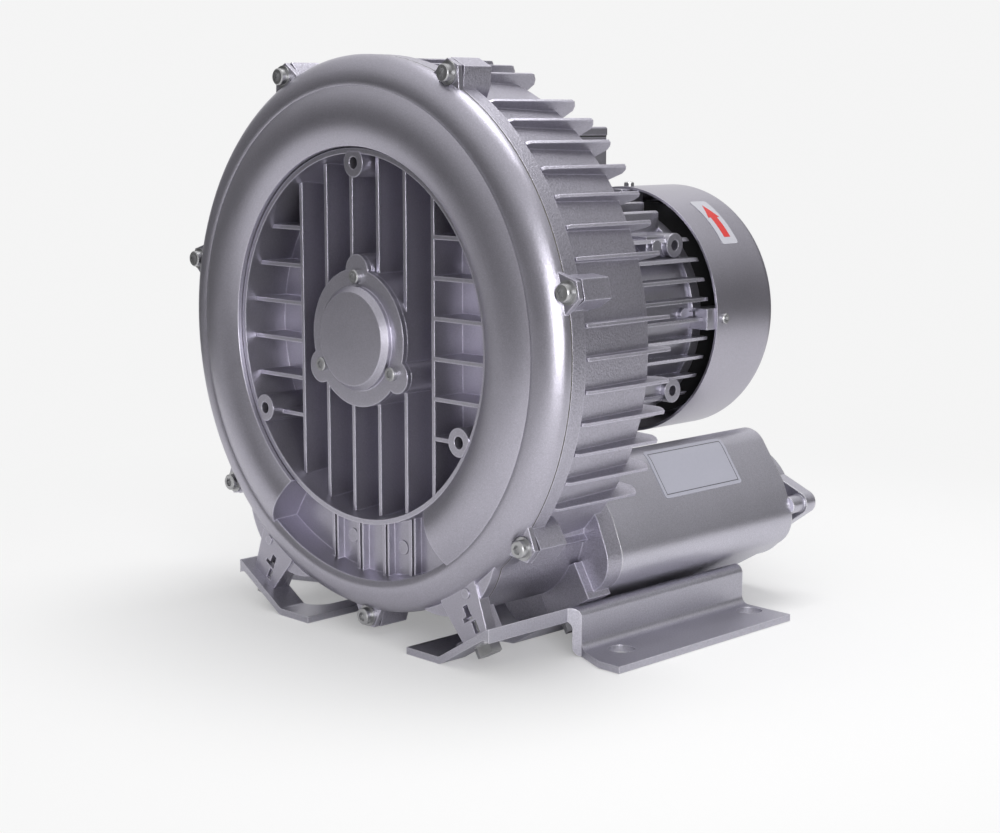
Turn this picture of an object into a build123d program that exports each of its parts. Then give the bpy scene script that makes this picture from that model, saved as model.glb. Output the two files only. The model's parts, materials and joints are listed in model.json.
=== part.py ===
from build123d import *
import os
from math import cos, radians, sin, tan

# Side channel blower: a cast cover and housing round a bladed impeller, a finned motor
# behind them, two silencers under the motor and a bent base plate.
# Millimetres.  +Z is up, the cover faces -Y, and the origin is the middle of the four foot
# holes on the floor.  A station is a distance behind the joint between cover and housing.

os.makedirs("parts", exist_ok=True)

# --- Place of the machine over its base ---------------------------------------------------
foot_centre_station = 127.0        # middle of the foot holes, behind the joint
joint_y = -foot_centre_station
leg_angle = 31.0                   # legs and silencers, each side of straight down
slope_foot_offset = 70.3           # middle plane to where the sloping seats leave the floor
seat_clearance = 3.5               # silencers to the sloping seats

# --- Case ---------------------------------------------------------------------------------
flange_margin = 8.0                # flange past the spigot
flange_depth = 10.0                # housing flange, behind the joint
gasket_thickness = 0.8
gasket_width = 7.0
case_wall = 5.0
rear_station = 70.0                # back of the impeller chamber
case_taper = 2.5                   # the outer wall draws in by this towards the back
ear_count = 7
ear_margin = 4.6                   # ear screws past the flange
ear_radius = 6.5
ear_block_depth = 20.0
cover_ear_thickness = 3.2
cover_screw_diameter = 6.0
cover_screw_length = 16.0
cover_washer_radius = 6.4
washer_thickness = 1.2

# --- Front cover --------------------------------------------------------------------------
ridge_inset = 16.3                 # flange edge to the ridge
ridge_station = -13.5
torus_crest_station = -18.5
dish_wall = 1.0                    # dish rim to the impeller chamber
rim_width = 3.0
rim_station = -11.0
dish_floor_station = 17.0
dish_floor_thickness = 5.0
dish_draft = 2.5                   # the dish wall leans in by this towards its floor
cover_rib_thickness = 2.4
cover_rib_pitch = 22.6
cover_rib_station = -4.0
side_rib_pitch = 22.0
side_rib_rise = 4.0                # the side ribs sit this far above the middle
pocket_half_angle = 33.0           # interrupter pocket, each side of straight down
pocket_floor_station = 3.0
pocket_rib_station = -1.5
pocket_step = 3.6                  # the pocket ribs have a thinner rib beside them
pocket_step_thickness = 1.4
boss_inset = 5.3                   # dish rim to the boss middles
boss_radius = 8.0
boss_station = -11.6
boss_thread_radius = 3.4           # M8
boss_thread_depth = 16.0
leg_top_width = 31.0
leg_foot_width = 21.0
leg_front_station = -8.0
leg_back_station = 4.0

# --- Hub and bearings ---------------------------------------------------------------------
hub_radius = 39.0
hub_lobe_radius = 9.5
hub_screw_pitch_radius = 34.7
hub_station = -7.0
hub_screw_diameter = 5.0
cap_plate_thickness = 3.0
cap_dome_radius = 29.5
cap_dome_height = 5.5
cap_wall = 2.5
cap_spigot_radius = 25.7
spring_front_station = 0.5
bearing_outer_radius = 26.0
bearing_bore_radius = 12.5
bearing_width = 15.0
bearing_ring_thickness = 4.2
ball_count = 8
ball_clearance = 0.1
front_bearing_station = 2.0
rear_bearing_station = 196.0

# --- Impeller -----------------------------------------------------------------------------
impeller_radius = 142.5
spigot_wall = 4.0                  # case bore to the spigot
impeller_front_station = 10.0
impeller_width = 36.0
impeller_blade_span = 34.0
impeller_rim_thickness = 3.0
impeller_web = 4.0
impeller_disc = 6.0
blade_count = 46
blade_thickness = 2.0
impeller_hub_radius = 30.0
impeller_nose_radius = 18.0
running_gap = 2.0                  # impeller to the case at its sides
radial_gap = 2.5                   # impeller to the case at its rim

# --- Shaft --------------------------------------------------------------------------------
shaft_front_station = -6.5
impeller_seat_radius = 14.0
seal_seat_radius = 15.0
rotor_seat_radius = 17.0
fan_seat_radius = 11.0
shaft_end_station = 261.0
key_width = 6.0
key_height = 6.0
key_length = 12.0
clip_thickness = 1.2
nut_flats = 34.0
nut_thickness = 6.6
seal_outer_radius = 22.0
seal_width = 8.0
lip_clearance = 0.05

# --- Motor --------------------------------------------------------------------------------
motor_front_station = 78.0
motor_rear_station = 204.0
frame_radius = 64.0
frame_wall = 4.0
motor_fin_radius = 74.0
motor_fin_thickness = 2.2
motor_fin_pitch = 12.0
fin_overhang = 6.0
motor_flange_radius = 78.0
motor_flange_thickness = 7.0
motor_screw_pitch_radius = 71.5
motor_screw_diameter = 6.0
motor_screw_length = 16.0
side_boss_radius = 7.5
side_boss_hole_radius = 3.25
side_boss_reach = 58.0
side_boss_height = 45.0
side_boss_station = 195.5
small_boss_radius = 4.0
side_block_length = 26.0
side_block_draw_in = 4.0
shield_screw_pitch_radius = 62.0
shield_screw_diameter = 4.0
shield_lug_length = 12.0
cowl_screw_diameter = 4.0
slot_width = 5.0
winding_length = 14.0
cable_way_station = 136.0
cable_way_radius = 6.0
stack_station = 100.0
stack_length = 80.0
air_gap = 0.5
rotor_radius = 37.0
slot_count = 24
end_shield_thickness = 8.0
cowl_radius = 79.0
cowl_wall = 1.5
cowl_front_station = 212.0
cowl_rear_station = 272.0
cowl_corner = 9.0
cowl_screw_station = 218.0
fan_blade_count = 8
fan_station = 228.0
fan_width = 27.0
fan_radius = 69.0
fan_hub_radius = 18.0
fan_blade_thickness = 2.5
grille_ring_count = 5
grille_first_radius = 18.0
grille_pitch = 10.0
grille_slot = 5.0
grille_spoke = 5.0

# --- Terminal box -------------------------------------------------------------------------
box_station = 90.0
box_length = 58.0
box_width = 92.0
box_height = 36.0
box_wall = 3.0
box_rise = 75.0                    # shaft to the bottom of the box
lid_thickness = 5.0
lid_gasket = 1.0
gland_radius = 9.0
gland_height = 268.0
cable_radius = 6.0
box_corner = 4.0
lid_screw_diameter = 4.0

# --- Silencers ----------------------------------------------------------------------------
silencer_radius = 140.5            # shaft to the middle of a silencer
silencer_offset = 3.0
silencer_width = 96.0
silencer_height = 75.0
silencer_wall = 2.5
silencer_front_station = 74.0
silencer_rear_station = 230.0
duct_inset = 25.0                  # case bore to the middles of the ducts
duct_radius = 46.0
passage_height = 34.0
lug_offset = 11.0
lug_width = 34.0
lug_bolt_offset = 2.0
lug_height = 22.0
lug_depth = 18.0
port_thread_radius = 28.3          # G2
port_rear_station = 250.0
foam_thickness = 9.0
foam_front_station = 84.0
silencer_inner_corner = 15.0
silencer_outer_corner = 20.0
crease_offset = 4.5                # the crease is this far outside the silencer's middle
crease_draw_in = 2.5
rear_wall = 4.0
port_bore_radius = 30.0
port_gap_station = 233.0
port_boss_radius = 36.0
port_lobe_radius = 7.0
port_lobe_draw_in = 6.0
port_lobe_depth = 9.0
port_pillar_radius = 5.5
port_screw_diameter = 5.0
port_screw_places = [(43.0, -19.5), (-43.0, 19.5)]

# --- Base plate ---------------------------------------------------------------------------
plate_thickness = 4.0
foot_spacing_x = 260.0
foot_spacing_y = 115.0
foot_hole_radius = 7.5
plate_half_width = 152.3
foot_front_station = 43.0
foot_rear_station = 195.0
web_offset = 114.0                 # middle plane to the outside of the upright web
arm_front_station = -14.0
arm_inner_offset = 44.0
bend_radius = 5.0
arm_outer_offset = 110.0
central_cut_station = 60.0
foot_chamfer_offset = 137.0
window_inner = 58.0
window_outer = 100.0
window_front = 4.0
window_rear = 43.0
window_corner = 12.0
base_bolt_diameter = 8.0
base_bolt_length = 12.0
base_washer_radius = 7.5

# --- Sizes worked out from the above ------------------------------------------------------
case_inner_radius = impeller_radius + radial_gap
spigot_radius = case_inner_radius + spigot_wall
flange_radius = spigot_radius + flange_margin
ear_pitch_radius = flange_radius + ear_margin
ridge_radius = flange_radius - ridge_inset
impeller_root_radius = impeller_radius - impeller_blade_span
channel_inner_radius = impeller_root_radius - impeller_rim_thickness - 1.5
dish_radius = channel_inner_radius - dish_wall
rim_outer_radius = dish_radius + rim_width
torus_crest_radius = (rim_outer_radius + ridge_radius) / 2 - 1.35
boss_pitch_radius = dish_radius - boss_inset
duct_centre_radius = case_inner_radius - duct_inset
passage_radius = (channel_inner_radius + case_inner_radius) / 2 + 5.5
leg_lean = radians(leg_angle)
seat_radius = silencer_radius + silencer_height / 2 + seat_clearance
slope = tan(leg_lean)
shaft_height = seat_radius / cos(leg_lean) - slope * slope_foot_offset + plate_thickness

# --- Planes and axes worked out from the above --------------------------------------------
shaft_axis = Axis((0, joint_y, shaft_height), (0, 1, 0))
meridian = Plane(origin=(0, joint_y, shaft_height), x_dir=(1, 0, 0), z_dir=(0, 0, 1))
middle = Plane.YZ


def station(y):
    """Plane square to the shaft at a station; it faces the front, with X and Z on it."""
    return Plane(origin=(0, joint_y + y, shaft_height), x_dir=(1, 0, 0), z_dir=(0, -1, 0))


def slanted(y, radius=0.0, offset=0.0):
    """Plane at a station turned to the right leg: its Y points back to the shaft."""
    x = radius * sin(leg_lean) + offset * cos(leg_lean)
    z = shaft_height - radius * cos(leg_lean) + offset * sin(leg_lean)
    across = (cos(leg_lean), 0, sin(leg_lean))
    return Plane(origin=(x, joint_y + y, z), x_dir=across, z_dir=(0, -1, 0))


def seat_plane(y, offset):
    """Plane on the right-hand sloping seat; it faces away from the shaft."""
    out = (sin(leg_lean), 0, -cos(leg_lean))
    x = seat_radius * sin(leg_lean) + offset * cos(leg_lean)
    z = shaft_height - seat_radius * cos(leg_lean) + offset * sin(leg_lean)
    return Plane(origin=(x, joint_y + y, z), x_dir=(0, 1, 0), z_dir=out)


def silencer_section(inset):
    """Rounded outline of a silencer, widest at its crease, drawn in by an inset."""
    half_width = silencer_width / 2 - inset
    half_height = silencer_height / 2 - inset
    with BuildSketch() as section:
        Polygon(
            (-half_width + crease_draw_in, half_height),
            (half_width - crease_draw_in, half_height),
            (half_width, -crease_offset),
            (half_width - 2 * crease_draw_in, -half_height),
            (-half_width + 2 * crease_draw_in, -half_height),
            (-half_width, -crease_offset),
            align=None,
        )
        fillet(section.vertices().group_by(Axis.Y)[-1], silencer_inner_corner - inset)
        fillet(section.vertices().group_by(Axis.Y)[0], silencer_outer_corner - inset)
    return section.sketch


def flipped(plane):
    """The same place facing the other way; its Y points down where the plane's pointed up."""
    return Plane(origin=plane.origin, x_dir=plane.x_dir, z_dir=-plane.z_dir)


def ring(outer, inner, front, back):
    """Plain ring round the shaft between two stations."""
    with BuildPart() as body:
        with BuildSketch(station(back)):
            Circle(outer)
            Circle(inner, mode=Mode.SUBTRACT)
        extrude(amount=back - front)
    return body.part


def disc(radius, front, back):
    """Plain disc round the shaft between two stations."""
    with BuildPart() as body:
        with BuildSketch(station(back)):
            Circle(radius)
        extrude(amount=back - front)
    return body.part


def turned(*points, arc=360.0):
    """Solid turned about the shaft from (radius, station) points."""
    with BuildPart() as body:
        with BuildSketch(meridian):
            with BuildLine():
                Polyline(*points, close=True)
            make_face()
        revolve(axis=shaft_axis, revolution_arc=arc)
    return body.part


def polar(radius, angle):
    """Point on a station plane at an angle from +X."""
    return (radius * cos(radians(angle)), radius * sin(radians(angle)))


def spread(count, first=0.0):
    """Evenly spaced angles round the shaft."""
    return [first + 360.0 / count * i for i in range(count)]


def save(piece, name):
    piece.label = name
    export_step(piece, f"parts/{name}.step")


def both_sides(piece):
    """The piece and its twin across the middle plane."""
    return [piece, mirror(piece, about=middle)]


def cowl_screw_plane(angle):
    """Plane on the cowl's outside at one of its screws; it faces outwards."""
    out = (cos(radians(angle)), 0, sin(radians(angle)))
    place = (cowl_radius * out[0], joint_y + cowl_screw_station, shaft_height + cowl_radius * out[2])
    return Plane(origin=place, x_dir=(0, 1, 0), z_dir=out)


def cap_screws(plane, places, diameter, length, head_height=None, washer=0.0):
    """Socket head cap screws whose heads stand on the plane; the shanks go behind it."""
    head = head_height or diameter
    with BuildPart() as screws:
        with BuildSketch(plane.offset(washer)):
            with Locations(*places):
                Circle(0.8 * diameter)
        extrude(amount=head)
        with BuildSketch(plane.offset(washer + head)):
            with Locations(*places):
                RegularPolygon(0.42 * diameter, 6)
        extrude(amount=-0.5 * head, mode=Mode.SUBTRACT)
        with BuildSketch(plane.offset(washer)):
            with Locations(*places):
                Circle(diameter / 2)
        extrude(amount=-(length + washer))
    return screws.part


ear_angles = spread(ear_count, -90.0)
ear_places = [polar(ear_pitch_radius, a) for a in ear_angles]
spigot_gap = 0.4
spigot_back = impeller_front_station - 1.0
leg_neck_radius = duct_centre_radius + duct_radius + 1.5
disc_middle = impeller_front_station + impeller_width / 2
back_wall_station = disc_middle + impeller_disc / 2 + running_gap + 1.0
impeller_back_station = impeller_front_station + impeller_width
hollow_floor_station = back_wall_station + case_wall + 3.0
bearing_back_station = front_bearing_station + bearing_width
clip_station = fan_station + fan_width + 0.2
shield_screw_places = [polar(shield_screw_pitch_radius, a) for a in spread(4, 45)]
motor_screw_places = [polar(motor_screw_pitch_radius, a) for a in spread(4, 45)]
duct_places = [polar(duct_centre_radius, -90 - leg_angle), polar(duct_centre_radius, leg_angle - 90)]
lug_middle_station = silencer_front_station - lug_depth / 2
seat_bolt_planes = [
    seat_plane((leg_front_station + leg_back_station) / 2, 0),
    seat_plane(lug_middle_station, lug_bolt_offset),
]
dish_back_station = dish_floor_station + dish_floor_thickness


# --- Outline shared by the cover flange, the gasket and the housing flange ----------------
with BuildSketch() as case_outline:
    Circle(flange_radius)
    with Locations(*duct_places):
        Circle(duct_radius)


def seat_hole(seat):
    """Tapped hole for a base bolt, from a seat towards the shaft."""
    with BuildPart() as hole:
        with BuildSketch(seat):
            Circle(base_bolt_diameter / 2)
        extrude(amount=-base_bolt_length)
    return hole.part


# --- Front cover --------------------------------------------------------------------------
torus_arc = 360.0 - 2 * pocket_half_angle
torus_back_station = pocket_floor_station + 1.0
with BuildPart() as torus:
    with BuildSketch(meridian):
        with BuildLine():
            back = Line((rim_outer_radius - 1, torus_back_station), (ridge_radius - 1, torus_back_station))
            rise = Line(back @ 1, (ridge_radius, ridge_station + 1))
            crest = ThreePointArc(
                rise @ 1,
                (torus_crest_radius + 4, torus_crest_station + 0.3),
                (rim_outer_radius + 1, rim_station - 2.5),
            )
            Line(crest @ 1, back @ 0)
        make_face()
    revolve(axis=shaft_axis, revolution_arc=torus_arc)
torus_lobe = torus.part.rotate(shaft_axis, 90 + pocket_half_angle)

with BuildPart() as channel:
    with BuildSketch(meridian):
        with BuildLine():
            mouth = Line(
                (channel_inner_radius + 1, spigot_back + 2),
                (case_inner_radius - 1, spigot_back + 2),
            )
            side = Line(mouth @ 1, (case_inner_radius - 2, 0))
            crown = ThreePointArc(
                side @ 1,
                (torus_crest_radius + 3, torus_crest_station + case_wall),
                (channel_inner_radius + 2, 0),
            )
            Line(crown @ 1, mouth @ 0)
        make_face()
    revolve(axis=shaft_axis, revolution_arc=torus_arc - 16)
channel_void = channel.part.rotate(shaft_axis, 90 + pocket_half_angle + 8)

rib_offsets = [cover_rib_pitch * (i - 2.5) for i in range(6)]
side_rib_heights = [side_rib_rise + side_rib_pitch * (i - 2.5) for i in range(6)]

with BuildPart() as front_cover:
    # shell: flange, round shoulder, land, rim, dish wall and dish floor
    with BuildSketch(meridian):
        with BuildLine():
            outer = Line((flange_radius, -gasket_thickness), (flange_radius, -4.0))
            shoulder = ThreePointArc(outer @ 1, (flange_radius - 5.0, -10.3), (ridge_radius, ridge_station))
            lip = Line(shoulder @ 1, (ridge_radius - 3.0, ridge_station + 1.5))
            land = Polyline(
                lip @ 1,
                (ridge_radius - 4.0, pocket_floor_station),
                (rim_outer_radius, pocket_floor_station),
                (rim_outer_radius, rim_station),
                (dish_radius, rim_station),
                (dish_radius - dish_draft, dish_floor_station),
                (0, dish_floor_station),
                (0, dish_back_station),
                (channel_inner_radius, dish_back_station),
                (channel_inner_radius, impeller_front_station - running_gap),
                (spigot_radius - spigot_gap, impeller_front_station - running_gap),
                (spigot_radius - spigot_gap, -gasket_thickness),
            )
            Line(land @ 1, outer @ 0)
        make_face()
    revolve(axis=shaft_axis)
    add(torus_lobe)
    # flange where it follows the ducts
    with BuildSketch(station(-gasket_thickness)):
        with Locations(*duct_places):
            Circle(duct_radius)
        Circle(flange_radius - 1, mode=Mode.SUBTRACT)
    extrude(amount=6.0)
    add(channel_void, mode=Mode.SUBTRACT)
    # dish ribs
    with BuildSketch(station(dish_floor_station)):
        with Locations(*[(x, 0) for x in rib_offsets]):
            Rectangle(cover_rib_thickness, 2 * dish_radius)
        with Locations(*[(0, z) for z in side_rib_heights]):
            Rectangle(2 * dish_radius, cover_rib_thickness)
        Rectangle(2 * rib_offsets[-1] - 1, 2 * dish_radius, mode=Mode.SUBTRACT)
        with Locations(*[(x, 0) for x in rib_offsets]):
            Rectangle(cover_rib_thickness, 2 * dish_radius)
        Circle(dish_radius - 1, mode=Mode.INTERSECT)
    extrude(amount=dish_floor_station - cover_rib_station)
    # interrupter pocket ribs, in line with the dish ribs
    with BuildSketch(station(pocket_floor_station)):
        with Locations(*[(x, -torus_crest_radius) for x in rib_offsets[1:5]]):
            Rectangle(cover_rib_thickness, ridge_radius - rim_outer_radius + 26)
        with Locations(*[(x + pocket_step, -torus_crest_radius) for x in rib_offsets[1:5]]):
            Rectangle(pocket_step_thickness, ridge_radius - rim_outer_radius + 26)
        Circle(ridge_radius - 2.0, mode=Mode.INTERSECT)
        Circle(rim_outer_radius - 1, mode=Mode.SUBTRACT)
    extrude(amount=pocket_floor_station - pocket_rib_station)
    # hub with its three lobes
    with BuildSketch(station(dish_floor_station)):
        Circle(hub_radius)
        with Locations(*[polar(hub_screw_pitch_radius + 3, a) for a in spread(3, 90)]):
            Circle(hub_lobe_radius)
    extrude(amount=dish_floor_station - hub_station)
    # mounting bosses at the dish rim
    with BuildSketch(station(dish_floor_station)):
        with Locations(*[polar(boss_pitch_radius, a) for a in spread(3, 90)]):
            Circle(boss_radius)
        Circle(channel_inner_radius, mode=Mode.INTERSECT)
    extrude(amount=dish_floor_station - boss_station)
    # front legs
    for side in (-1, 1):
        with BuildSketch(station(-gasket_thickness)):
            with Locations(Rotation(0, 0, side * leg_angle)):
                Polygon(
                    (-leg_top_width / 2, -ridge_radius),
                    (-leg_top_width / 2, -flange_radius),
                    (-leg_foot_width / 2, -seat_radius),
                    (leg_foot_width / 2, -seat_radius),
                    (leg_top_width / 2, -flange_radius),
                    (leg_top_width / 2, -ridge_radius),
                    align=None,
                )
        extrude(amount=-leg_front_station - gasket_thickness)
        with BuildSketch(station(leg_back_station)):
            with Locations(Rotation(0, 0, side * leg_angle)):
                with Locations((0, -(seat_radius + leg_neck_radius) / 2)):
                    Rectangle(leg_foot_width, seat_radius - leg_neck_radius)
        extrude(amount=leg_back_station - leg_front_station)
        with BuildSketch(station(leg_front_station)):
            with Locations(Rotation(0, 0, side * leg_angle)):
                with Locations((1.5, -seat_radius + 15), (3.5, -seat_radius + 5.5)):
                    Rectangle(4.0, 7.0)
                with Locations((0, -seat_radius + 11.5)):
                    Rectangle(8.0, 2.4)
        extrude(amount=-4.0, mode=Mode.SUBTRACT)
    # ears round the flange
    with BuildSketch(station(-gasket_thickness)):
        for angle in ear_angles:
            with Locations(Rotation(0, 0, angle)):
                Polygon(
                    (flange_radius - 4, -13),
                    (ear_pitch_radius + ear_radius, -4.5),
                    (ear_pitch_radius + ear_radius, 4.5),
                    (flange_radius - 4, 13),
                    align=None,
                )
    extrude(amount=cover_ear_thickness)
    # bores and threads
    with BuildSketch(station(hub_station)):
        Circle(bearing_outer_radius)
    extrude(amount=-(front_bearing_station + bearing_width - hub_station), mode=Mode.SUBTRACT)
    with BuildSketch(station(dish_back_station)):
        Circle(bearing_outer_radius - 4.5)
    extrude(amount=dish_back_station, mode=Mode.SUBTRACT)
    with BuildSketch(station(hub_station)):
        with Locations(*[polar(hub_screw_pitch_radius, a) for a in spread(3, 90)]):
            Circle(hub_screw_diameter / 2)
    extrude(amount=-12, mode=Mode.SUBTRACT)
    with BuildSketch(station(boss_station)):
        with Locations(*[polar(boss_pitch_radius, a) for a in spread(3, 90)]):
            Circle(boss_thread_radius)
    extrude(amount=-boss_thread_depth, mode=Mode.SUBTRACT)
    with BuildSketch(station(0)):
        with Locations(*ear_places):
            Circle(cover_screw_diameter / 2)
    extrude(amount=20, mode=Mode.SUBTRACT)
    with BuildSketch(station(-gasket_thickness - cover_ear_thickness)):
        with Locations(*ear_places):
            Circle(cover_washer_radius + 0.2)
    extrude(amount=10, mode=Mode.SUBTRACT)
    add(both_sides(seat_hole(seat_bolt_planes[0])), mode=Mode.SUBTRACT)
save(front_cover.part, "front_cover")


# --- Joint gasket -------------------------------------------------------------------------
with BuildPart() as joint_gasket:
    with BuildSketch(station(0)):
        Circle(flange_radius)
        with Locations(*duct_places):
            Circle(duct_radius)
        Circle(flange_radius - gasket_width, mode=Mode.SUBTRACT)
    extrude(amount=gasket_thickness)
save(joint_gasket.part, "joint_gasket")


# --- Rear housing -------------------------------------------------------------------------
case_outer_radius = case_inner_radius + case_wall + 1.5
case_rear_radius = case_outer_radius - case_taper
fin_radius = flange_radius - 1.5
fin_thickness = 2.0
fin_root_radius = case_rear_radius - 3.0
fin_front_station = flange_depth + 4.0
fin_back_station = rear_station + 10.0
fin_pitch = 360.0 / ear_count / 8
motor_spigot_radius = motor_flange_radius - 12.0
hollow_inner_radius = motor_flange_radius
hollow_outer_radius = channel_inner_radius - case_wall
collar_front_station = silencer_front_station - 12.0

with BuildPart() as cooling_fin:
    with BuildSketch(meridian):
        with BuildLine():
            Polyline(
                (fin_root_radius, fin_front_station),
                (fin_radius - 1, fin_front_station),
                (fin_radius, fin_front_station + 3),
                (fin_radius, fin_back_station - 2),
                (fin_radius - 3, fin_back_station),
                (fin_radius - 6, fin_back_station),
                (case_rear_radius - 8, rear_station),
                (fin_root_radius, rear_station - 6),
                close=True,
            )
        make_face()
    extrude(amount=fin_thickness / 2, both=True)
fin_slots = [i for i in range(ear_count * 8) if i % 8]
fin_angles = [-90.0 + fin_pitch * i for i in fin_slots if 6.5 < i < ear_count * 8 - 6.5]
cooling_fins = [cooling_fin.part.rotate(shaft_axis, -angle) for angle in fin_angles]

with BuildPart() as ear_block:
    with BuildSketch(station(0)):
        with BuildLine():
            Polyline(
                (fin_root_radius, -9),
                (flange_radius + 1, -9),
                (ear_pitch_radius + ear_radius, -5.5),
                (ear_pitch_radius + ear_radius, 5.5),
                (flange_radius + 1, 9),
                (fin_root_radius, 9),
                close=True,
            )
        make_face()
    extrude(amount=-ear_block_depth)
ear_blocks = [ear_block.part.rotate(shaft_axis, -angle) for angle in ear_angles]

with BuildPart() as passage:
    with BuildSketch(slanted(silencer_front_station, passage_radius)):
        RectangleRounded(2 * duct_radius - 32, passage_height, 12)
    extrude(amount=silencer_front_station - impeller_back_station + 2)

with BuildPart() as silencer_seat:
    # collar that carries the silencer's front end
    with BuildSketch(slanted(silencer_front_station, silencer_radius, silencer_offset)):
        add(silencer_section(0))
    extrude(amount=silencer_front_station - collar_front_station)
    # lug that stands on the base plate's slope
    with BuildSketch(slanted(silencer_front_station, seat_radius, lug_offset)):
        with Locations((0, lug_height / 2)):
            Rectangle(lug_width, lug_height)
    extrude(amount=lug_depth)

with BuildPart() as rear_housing:
    # shell with the side channel, the back wall and the motor spigot
    with BuildSketch(meridian):
        with BuildLine():
            outside = Polyline(
                (spigot_radius, 0),
                (flange_radius, 0),
                (flange_radius, flange_depth),
                (case_outer_radius, flange_depth + 2),
                (case_rear_radius, rear_station - 3),
                (case_rear_radius - 3, rear_station),
                (channel_inner_radius - 2, rear_station),
                (hollow_outer_radius, rear_station - 6),
                (hollow_outer_radius, hollow_floor_station),
                (hollow_inner_radius, hollow_floor_station),
                (hollow_inner_radius, motor_front_station),
                (motor_spigot_radius, motor_front_station),
                (motor_spigot_radius, hollow_floor_station - 2),
                (seal_outer_radius + 6, hollow_floor_station - 2),
                (seal_outer_radius + 6, back_wall_station + seal_width + 2),
                (seal_outer_radius, back_wall_station + seal_width + 2),
                (seal_outer_radius, back_wall_station + 2),
                (seal_seat_radius + 2, back_wall_station + 2),
                (seal_seat_radius + 2, back_wall_station),
                (channel_inner_radius - 1.5, back_wall_station),
                (channel_inner_radius, impeller_back_station),
            )
            groove = ThreePointArc(
                outside @ 1,
                ((channel_inner_radius + case_inner_radius) / 2, rear_station - case_wall),
                (case_inner_radius, impeller_back_station),
            )
            Polyline(
                groove @ 1,
                (case_inner_radius, spigot_back + 0.5),
                (spigot_radius, spigot_back + 0.5),
                outside @ 0,
            )
        make_face()
    revolve(axis=shaft_axis)
    # ducts, which also widen the flange
    with BuildSketch(station(silencer_front_station)):
        with Locations(*duct_places):
            Circle(duct_radius)
        Circle(case_inner_radius + 3, mode=Mode.SUBTRACT)
    extrude(amount=silencer_front_station)
    with BuildSketch(station(silencer_front_station)):
        with Locations(*duct_places):
            Circle(duct_radius)
        Circle(hollow_outer_radius, mode=Mode.SUBTRACT)
    extrude(amount=silencer_front_station - rear_station + 6)
    add(both_sides(silencer_seat.part))
    # ribs between the motor spigot and the channel
    with BuildSketch(station(rear_station - 6)):
        for angle in spread(6, 30):
            with Locations(Rotation(0, 0, angle)):
                with Locations(((hollow_inner_radius + hollow_outer_radius) / 2, 0)):
                    Rectangle(hollow_outer_radius - hollow_inner_radius + 4, 4)
    extrude(amount=rear_station - 6 - hollow_floor_station)
    add(cooling_fins)
    add(ear_blocks)
    add(both_sides(passage.part), mode=Mode.SUBTRACT)
    add(disc(spigot_radius, 0, spigot_back + 0.5), mode=Mode.SUBTRACT)
    add(both_sides(seat_hole(seat_bolt_planes[1])), mode=Mode.SUBTRACT)
    # tapped holes for the cover and the motor
    with BuildSketch(station(0)):
        with Locations(*ear_places):
            Circle(cover_screw_diameter / 2)
    extrude(amount=-cover_screw_length, mode=Mode.SUBTRACT)
    with BuildSketch(station(motor_front_station)):
        with Locations(*motor_screw_places):
            Circle(motor_screw_diameter / 2)
    extrude(amount=motor_screw_length, mode=Mode.SUBTRACT)
save(rear_housing.part, "rear_housing")


# --- Shaft, impeller and what holds them --------------------------------------------------
hub_back_station = back_wall_station - 1.0
hub_front_station = dish_back_station + 1.5
key_front_station = bearing_back_station + 3.0
key_middle_radius = impeller_seat_radius - 1.0
stack_back_station = stack_station + stack_length
rear_shoulder_station = rear_bearing_station
rear_bearing_back = rear_bearing_station + bearing_width

with BuildPart() as shaft:
    with BuildSketch(meridian):
        with BuildLine():
            Polyline(
                (0, shaft_front_station),
                (bearing_bore_radius - 1, shaft_front_station),
                (bearing_bore_radius, shaft_front_station + 1),
                (bearing_bore_radius, bearing_back_station),
                (impeller_seat_radius, bearing_back_station),
                (impeller_seat_radius, hub_back_station),
                (seal_seat_radius, hub_back_station),
                (seal_seat_radius, stack_station - 8),
                (rotor_seat_radius, stack_station - 8),
                (rotor_seat_radius, stack_back_station + 6),
                (seal_seat_radius, stack_back_station + 6),
                (seal_seat_radius, rear_shoulder_station),
                (bearing_bore_radius, rear_shoulder_station),
                (bearing_bore_radius, rear_bearing_back + 1),
                (fan_seat_radius, rear_bearing_back + 1),
                (fan_seat_radius, clip_station),
                (fan_seat_radius - 1, clip_station),
                (fan_seat_radius - 1, clip_station + clip_thickness),
                (fan_seat_radius, clip_station + clip_thickness),
                (fan_seat_radius, shaft_end_station - 1),
                (fan_seat_radius - 1, shaft_end_station),
                (0, shaft_end_station),
                close=True,
            )
        make_face()
    revolve(axis=shaft_axis)
    with BuildSketch(station(key_front_station + key_length)):
        with Locations((0, key_middle_radius)):
            Rectangle(key_width, key_height)
    extrude(amount=key_length, mode=Mode.SUBTRACT)
save(shaft.part, "shaft")

with BuildPart() as impeller_key:
    with BuildSketch(station(key_front_station + key_length)):
        with Locations((0, key_middle_radius)):
            Rectangle(key_width, key_height)
    extrude(amount=key_length)
save(impeller_key.part, "impeller_key")

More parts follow.
